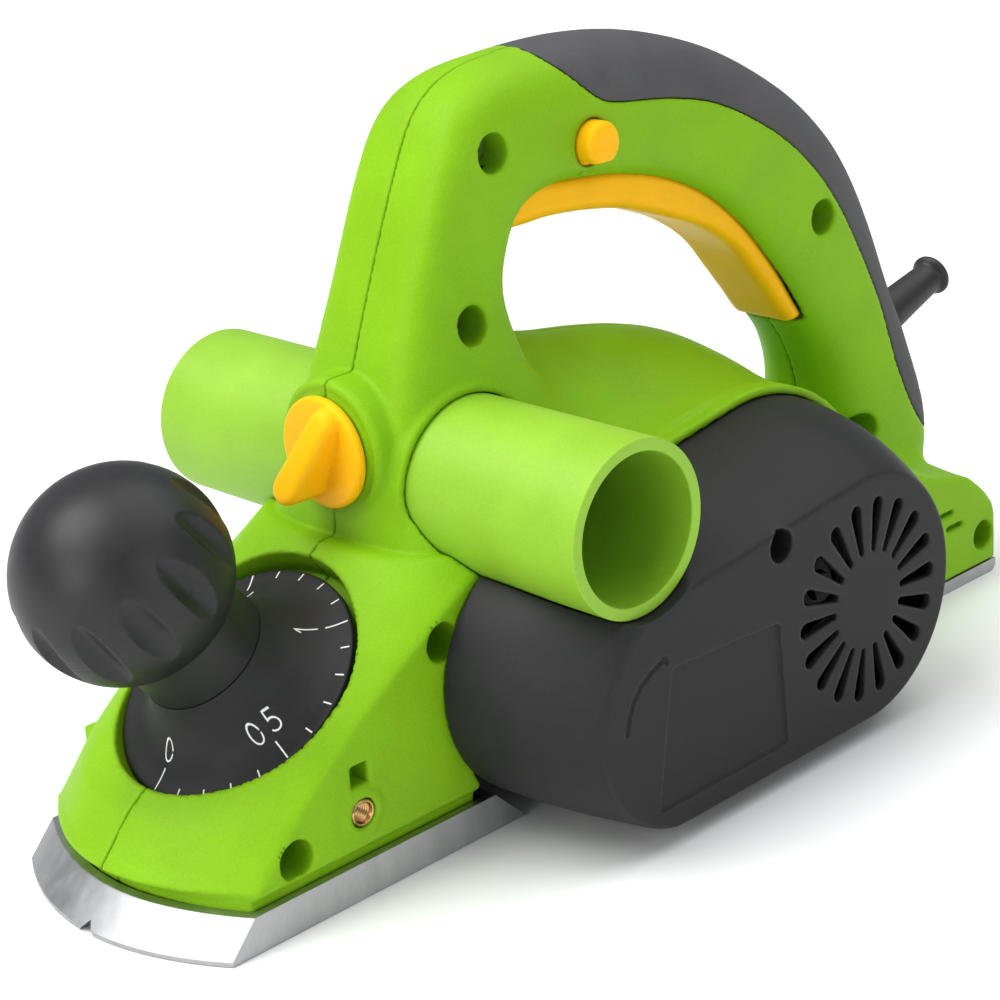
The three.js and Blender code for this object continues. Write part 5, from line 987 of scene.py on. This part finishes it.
def end_plate_form(x, y, z):
    """A disc with a bearing hub and six ribs."""
    disc = blend_in(rod_y(x, y, z, CUTTER, 33.2), np.maximum(slab(y, 41.35, 45.3), 4.5 - z), 0.7)
    hub = blend_in(rod_y(x, y, z, CUTTER, 16.9), slab(y, 41.35, 52.1), 1.4)
    ribs = np.full(np.broadcast_shapes(x.shape, y.shape, z.shape), 1e3)
    for turn in range(6):
        lean = turn * math.pi / 3
        off = np.abs((x - CUTTER[0]) * math.sin(lean) - (z - CUTTER[1]) * math.cos(lean))
        on = (x - CUTTER[0]) * math.cos(lean) + (z - CUTTER[1]) * math.sin(lean)
        ribs = np.minimum(ribs, np.maximum(np.maximum(off - 1.1, np.maximum(-on, on - 30)),
                                           np.maximum(y - 50.5 + 0.2 * on, 41.4 - y)))
    form = blend_out(blend_out(disc, hub, 1.2), np.maximum(ribs, disc - 6), 0.8)
    form = np.maximum(form, 4.45 - z)
    bore = np.maximum(rod_y(x, y, z, CUTTER, 14.3), y - 49.4)
    form = carve(form, bore, 0.3)
    return carve(form, rod_y(x, y, z, MOTOR, 50.9), 0.3)


end_plate = moulded("drum_end_plate_cast", end_plate_form, (-139, 40, 3), (-68, 53, 63), 0.55, cast_aluminium)
fitted(end_plate, "planer_body", "cast_aluminium", "drum_end_plate")

# Belt drive: a toothed pulley on the motor shaft drives a larger one on the drum through a flat ribbed belt.
# A nut on the drum's threaded stub holds the drum pulley.
PULLEY_Y = (-68.0, -55.0)
DRUM_WHEEL, MOTOR_WHEEL = 16.4, 9.5
sintered_steel = finish("sintered_steel", (0.16, 0.16, 0.17), 0.48, 1.0, mottle=0.15, patch=3, grain=0.35, lift=0.03)


def toothed(name, place, radius, bore, teeth, body, node):
    """A toothed pulley: a ring of rounded teeth between two ends."""
    count = teeth * 8
    loops = []
    for y in PULLEY_Y:
        turn = np.arange(count) * 2 * math.pi / count
        wave = np.clip(np.cos(turn * teeth) * 1.6, -1, 1)
        r = radius - 0.65 + 0.6 * wave
        loops.append([(place[0] + a * math.cos(t), y, place[1] + a * math.sin(t)) for a, t in zip(r, turn)])
    wheel = lofted(name, loops, sintered_steel)
    foot = (place[0], PULLEY_Y[0], place[1])
    hole = turned("bore_cut", [(0, -2), (bore, -2), (bore, 16), (0, 16)], foot, (0, 1, 0), 40, None)
    dish = turned("dish_cut", [(0, -1), (radius - 2.6, -1), (radius - 3.2, 1.6), (0, 1.6)], foot, (0, 1, 0), 48, None)
    fitted(cut_out(wheel, dish, hole), body, "dark_steel", node)


toothed("drum_pulley_wheel", CUTTER, DRUM_WHEEL, 6.3, 34, "cutter", "drum_pulley")
toothed("motor_pulley_wheel", MOTOR, MOTOR_WHEEL, 4.3, 20, "motor_rotor", "motor_pulley")
nut = lofted("pulley_nut_hex", [[(CUTTER[0] + r * math.cos(math.radians(60 * k)), y,
                                  CUTTER[1] + r * math.sin(math.radians(60 * k))) for k in range(6)]
                                for r, y in ((8.3, -73.7), (8.9, -73.1), (8.9, -68.3))], bright_steel)
fitted(cut_out(nut, turned("bore_cut", [(0, -1), (6.3, -1), (6.3, 8), (0, 8)], (CUTTER[0], -74, CUTTER[1]), (0, 1, 0),
                           40, None)), "cutter", "steel", "drum_pulley_nut")

belt_rubber = finish("belt_rubber", (0.03, 0.03, 0.031), 0.7, mottle=0.15, patch=5, grain=0.5, lift=0.03)


def belt_line(grow, count):
    """The belt's path round both pulleys, pushed out by an amount."""
    (ax, az), (bx, bz) = CUTTER, MOTOR
    ra, rb = DRUM_WHEEL + grow, MOTOR_WHEEL + grow
    heading = math.atan2(bz - az, bx - ax)
    spread = math.acos((ra - rb) / math.hypot(bx - ax, bz - az))
    arc = lambda x, z, r, a, b: [(x + r * math.cos(t), z + r * math.sin(t)) for t in np.linspace(a, b, count)]
    return (arc(bx, bz, rb, heading - spread, heading + spread)
            + arc(ax, az, ra, heading + spread, heading - spread + 2 * math.pi))


belt_loops = []
for grow, ys in ((0.32, (-67.6, -55.4)), (2.05, (-55.4, -67.6))):
    for y in ys:
        belt_loops.append([(x, y, z) for x, z in belt_line(grow, 40)])
count = len(belt_loops[0])
belt_faces = []
for row in range(4):
    below, above = row * count, (row + 1) % 4 * count
    belt_faces += [(below + k, below + (k + 1) % count, above + (k + 1) % count, above + k) for k in range(count)]
belt = shaped("drive_belt_band", [p for loop in belt_loops for p in loop], belt_faces, belt_rubber, 40)
fitted(belt, "planer_body", "belt_rubber", "drive_belt")

# Belt cover: a black moulded cap with a sunk place for a label, left bare, eighteen cooling slots over the
# motor, and a saddle under the chip tube. One screw in a deep hole holds it to the bridge.
COVER_WALL, COVER_SCREW, COVER_SLOTS = 2.5, (-62.0, 68.5), 18
# the cover's rims get a painted highlight: a lighter colour on its convex edges
cover_black = finish("cover_black", (0.029, 0.029, 0.030), 0.5, mottle=0.18, patch=14, grain=0.6, lift=0.05, edge_highlight=0.35,
                     shine=0.25)
label_corners = [(-104.6, 49.3), (-63.7, 47.2), (-61.5, 12.3), (-111.3, 12.0)]
curved_line = [(-121.6, 37.9), (-120.6, 42.0), (-118.8, 45.6), (-116.0, 48.6), (-112.4, 50.9), (-107.3, 52.9),
               (-106.6, 51.8)]


def label_distance(x, z):
    """Distance from the label's sunk panel, seen from the side."""
    far = np.full(np.broadcast_shapes(x.shape, z.shape), -1e3)
    for (ax, az), (bx, bz) in zip(label_corners, label_corners[1:] + label_corners[:1]):
        length = math.hypot(bx - ax, bz - az)
        far = blend_in(far, ((x - ax) * (az - bz) + (z - az) * (bx - ax)) / length, 1.8)
    return far


def groove_distance(x, z, line):
    """Distance from a line of points, seen from the side."""
    best = np.full(np.broadcast_shapes(x.shape, z.shape), 1e3)
    for (ax, az), (bx, bz) in zip(line[:-1], line[1:]):
        ex, ez = bx - ax, bz - az
        t = np.clip(((x - ax) * ex + (z - az) * ez) / (ex * ex + ez * ez), 0, 1)
        best = np.minimum(best, np.hypot(x - ax - t * ex, z - az - t * ez))
    return best


def cover_shell(x, y, z):
    """The whole cover: shell, screw post, slots, label place and the curved line."""
    outside = np.maximum(cover_form(x, y, z), y + 41.35)
    tube_room = rod_y(x, y, z, DUCT, 23.1)
    outside = carve(outside, tube_room, 0.8)
    cavity = np.maximum(cover_form(x, y, z, COVER_WALL, 2.0), COVER_WALL - tube_room)
    post = rod_y(x, y, z, COVER_SCREW, 7.0)
    cavity = np.maximum(cavity, -np.maximum(post, y + 49.8))
    form = np.maximum(outside, -cavity)
    hole = np.maximum(rod_y(x, y, z, (COVER_SCREW[0], COVER_SCREW[1] - 0.7), 4.4), y + 52.8)
    form = carve(form, hole, 0.4)
    form = np.maximum(form, -rod_y(x, y, z, COVER_SCREW, 2.05))
    turn, out = np.arctan2(z - MOTOR[1], x - MOTOR[0]), np.hypot(z - MOTOR[1], x - MOTOR[0])
    pitch = 2 * math.pi / COVER_SLOTS
    off = np.abs((turn + pitch / 2) % pitch - pitch / 2) * out
    half = np.interp(out, (14.4, 26.2), (0.95, 2.15))
    slot = np.hypot(off, np.maximum(np.maximum(14.4 - out, out - 26.2), 0)) - half
    form = carve(form, np.maximum(slot, y + 79), 0.45)
    form = carve(form, np.maximum(label_distance(x, z), y - COVER_FACE - 0.8), 0.25)
    return carve(form, np.hypot(groove_distance(x, z, curved_line), y - COVER_FACE) - 0.75, 0.2)


cover = moulded("belt_cover_shell", cover_shell, (-147, -85, 2.5), (22, -40.8, 92), 0.62, cover_black)
fitted(cover, "planer_body", "cover_plastic", "belt_cover")


def pan_screw(name, place, length, node):
    """A steel pan-head screw along Y with a cross recess and a thread."""
    thread = []
    for k in range(int((length - 9) / 1.6)):
        foot = 8 + 1.6 * k
        thread += [(1.3, foot), (1.75, foot + 0.5), (1.3, foot + 1.0)]
    profile = [(0, 0)] + [(4 * math.sin(t), 1.1 - 1.1 * math.cos(t)) for t in np.linspace(0.3, math.pi / 2, 5)]
    profile += [(4, 2.3), (1.6, 2.3), (1.6, 7.6), (1.3, 7.9)] + thread + [(1.2, length - 1), (0, length)]
    screw = turned(name, profile, place, (0, 1, 0), 28, bright_steel, angle=50)
    cut_out(screw, *cross_cut(place, (0, 1, 0), 1.5, 2.0))
    return fitted(screw, "planer_body", "steel", node)


pan_screw("cover_screw_pan", (COVER_SCREW[0], -55.7, COVER_SCREW[1]), 14.0, "cover_screw")

# Motor: a brushed universal motor across the body, with a laminated stator, two wound coils, an armature with
# its commutator, two carbon brushes in brass holders and a cooling fan next to the bridge.
lacquered_copper = finish("lacquered_copper", (0.55, 0.21, 0.08), 0.38, 1.0, mottle=0.2, patch=4, grain=0.5, lift=0.08,
                          stretch=(1, 0.15, 1))
brush_brass = finish("brush_brass", (0.72, 0.47, 0.17), 0.32, 1.0, mottle=0.12, patch=4, grain=0.4, lift=0.01)
brush_carbon = finish("brush_carbon", (0.022, 0.022, 0.022), 0.72, mottle=0.2, patch=2, grain=0.3, lift=0.03)
dressed(dark_steel, "stator_core", "armature_core")
dressed(lacquered_copper, "field_coil_top", "field_coil_bottom", "commutator")
dressed(brush_brass, "brush_holder_front", "brush_holder_rear")
dressed(brush_carbon, "carbon_brush_front", "carbon_brush_rear")
dressed(dark_steel, "motor_shaft")
dressed(black_nylon, "cooling_fan")

# Trigger: a long yellow nylon lever under the handle, hinged on a steel pin at the front of the loop. It
# presses the switch's plunger, and a coil spring in a pocket pushes it back.
TRIGGER_HALF = 12.2


def trigger_form(x, y, z):
    """The lever with its plunger, the spring's pocket, the pin's hole and room for the button."""
    side = np.abs(y) - TRIGGER_HALF
    edge = look_up(trigger_table, x, z)
    form = blend_in(edge, side, 4.6)
    plunger = np.maximum(np.maximum(slab(x, -35.2, -29.4), slab(z, 150, 161.2)), np.abs(y) - 2.7)
    form = np.minimum(form, plunger)
    pocket = np.maximum(np.maximum(np.abs(x + 0.1) - 6.2, np.abs(y) - 6.2), 131.3 - z)
    form = np.maximum(form, -pocket)
    pulled_x, pulled_z = x - SWING * (z - PIVOT[1]), z + SWING * (x - PIVOT[0])
    form = np.maximum(form, 8.1 - np.hypot(pulled_x - BUTTON[0], pulled_z - BUTTON[1]))
    return np.maximum(form, -rod_y(x, y, z, PIVOT, 2.3))


trigger = moulded("trigger_lever", trigger_form, (-95, -14.5, 88), (40, 14.5, 165), 0.6, yellow_nylon)
fitted(trigger, "trigger", "yellow_plastic", "trigger")
dressed(bright_steel, "trigger_pin", "trigger_spring", "button_spring")
dressed(black_nylon, "power_switch", "cord_clamp")

# Lock-off button: a yellow nylon plunger through the left casing with a flat on one side. It is pressed in
# with the thumb before the trigger can move, and a small coil spring returns it.
button = turned("lock_off_plunger", [(0, -22.5)] + [(6 * s, u) for s, u in
                ((0.55, -22.5), (0.80, -22.35), (0.93, -21.9), (1.0, -21.2))]
                + [(6, -15.4), (6, -15.1), (7.6, -15.1), (7.6, -13.3), (6, -13.3), (6, 7.7), (5.7, 8), (0, 8)],
                (BUTTON[0], 0, BUTTON[1]), (0, 1, 0), 64, yellow_nylon)
flat = bar("flat_cut", (BUTTON[0] - 8, -24, BUTTON[1] - 9), (BUTTON[0] + 8, -16.2, BUTTON[1] - 4.6))
fitted(cut_out(button, flat), "lock_off_button", "yellow_plastic", "lock_off_button")

# Strain relief: a tapered black rubber sleeve, clamped between the casings at the foot of the handle, with a
# bead round its open end.
sleeve_rubber = finish("sleeve_rubber", (0.030, 0.030, 0.031), 0.5, mottle=0.12, patch=10, grain=0.5, lift=0.015)
sleeve_profile = ([(2.9, -6.9), (8.8, -6.9), (8.8, -5.8), (6.3, -5.7), (6.3, 5.0)]
                  + [(6.5 - 1.45 * s ** 0.9, 5 + 24.4 * s) for s in np.linspace(0.1, 1, 12)]
                  + [(5.1, 29.9), (5.5, 30.4)] + [(5.0 + 1.5 * math.sin(t), 32.1 - 1.6 * math.cos(t))
                                                for t in np.linspace(0.6, math.pi / 2, 6)]
                  + [(6.4, 32.7), (6.0, 33.3), (5.3, 33.65), (3.4, 33.65), (2.9, 33.2)])
sleeve = turned("strain_relief", sleeve_profile, (SLEEVE[0], 0, SLEEVE[1]),
                (math.cos(SLEEVE_TILT), 0, math.sin(SLEEVE_TILT)), 64, sleeve_rubber, True, 45)
fitted(sleeve, "planer_body", "sleeve_rubber", "cord_sleeve")

# Fence insert: a turned brass bush moulded into the left casing, with a thread for the screw that clamps a
# side fence. Its face lies flush in a round pad.
polished_brass = finish("polished_brass", (0.66, 0.43, 0.20), 0.28, 1.0, mottle=0.1, patch=3, grain=0.3, lift=0.004)
threads = []
for k in range(14):
    threads += [(2.55, 11.3 - 0.8 * k), (3.05, 10.9 - 0.8 * k)]
insert_profile = ([(3.2, 0), (3.55, 0.35), (3.6, 11.7), (3.3, 12), (2.9, 12), (2.55, 11.6)] + threads[1:-1]
                  + [(2.9, 0.1)])
insert = turned("fence_bush", insert_profile, (INSERT[0], -41, INSERT[1]), (0, 1, 0), 48, polished_brass, True, 40)
fitted(insert, "planer_body", "brass", "fence_insert")

# Casing screws: seven steel pan-head screws in deep round holes on the left side. They pull the two casings
# together and trap the duct, the motor and the controls between them.
for number, (x, z) in enumerate(housing_screws, 1):
    pan_screw("casing_screw_" + str(number), (x, -11.6, z), 26.6, "housing_screw_" + str(number))

# Studio: a pale floor, soft lights and the camera at the photograph's angle.
floor_mesh = bpy.data.meshes.new("floor")
floor_mesh.from_pydata([(-8, -8, 0), (8, -8, 0), (8, 8, 0), (-8, 8, 0)], [], [(0, 1, 2, 3)])
floor = bpy.data.objects.new("floor", floor_mesh)
bpy.context.scene.collection.objects.link(floor)
paper = bpy.data.materials.new("pale_floor")
paper.use_nodes = True
paper.node_tree.nodes["Principled BSDF"].inputs["Base Color"].default_value = (0.9, 0.9, 0.9, 1)
paper.node_tree.nodes["Principled BSDF"].inputs["Roughness"].default_value = 0.9
floor_mesh.materials.append(paper)

world = bpy.data.worlds.new("studio")
bpy.context.scene.world = world
world.use_nodes = True
world.node_tree.nodes["Background"].inputs["Color"].default_value = (0.95, 0.97, 1, 1)
world.node_tree.nodes["Background"].inputs["Strength"].default_value = 0.42


def soft_light(name, place, aim, size, power):
    """A square area light that faces the tool."""
    data = bpy.data.lights.new(name, "AREA")
    data.shape = "RECTANGLE"
    data.size, data.size_y = size
    data.energy = power
    lamp = bpy.data.objects.new(name, data)
    lamp.location = place
    lamp.rotation_euler = (Vector(aim) - Vector(place)).to_track_quat("-Z", "Y").to_euler()
    bpy.context.scene.collection.objects.link(lamp)


centre = (-0.05, 0, 0.08)
soft_light("front", (-1.35, -0.10, 0.50), centre, (0.6, 0.6), 4.5)
soft_light("fill", (-0.2, -1.5, 0.7), centre, (0.9, 0.9), 4)
for name, towards, power, angle in (("key", (0.70, -0.50, -1.27), 2.4, 45), ("top", (-0.4, 0.1, -1.0), 1.25, 60)):
    lamp = bpy.data.objects.new(name, bpy.data.lights.new(name, "SUN"))
    lamp.data.energy, lamp.data.angle = power, math.radians(angle)
    lamp.rotation_euler = Vector(towards).to_track_quat("-Z", "Y").to_euler()
    bpy.context.scene.collection.objects.link(lamp)
bpy.context.scene.view_settings.view_transform = "Standard"
bpy.context.scene.view_settings.gamma = 0.88

YAW, PITCH, ROLL = math.radians(43.25), math.radians(20.70), math.radians(-3.94)
forward = Vector((math.sin(YAW) * math.cos(PITCH), math.cos(YAW) * math.cos(PITCH), -math.sin(PITCH)))
right = Vector((math.cos(YAW), -math.sin(YAW), 0))
upward = right.cross(forward)
camera_data = bpy.data.cameras.new("camera")
camera_data.sensor_width = 36
camera_data.lens = 93.6
camera = bpy.data.objects.new("camera", camera_data)
rolled = Matrix.Rotation(-ROLL, 3, forward)
columns = [rolled @ right, rolled @ upward, rolled @ -forward]
camera.matrix_world = Matrix.Translation((-0.5315, -0.4802, 0.3162)) @ Matrix(columns).transposed().to_4x4()
bpy.context.scene.collection.objects.link(camera)
bpy.context.scene.camera = camera
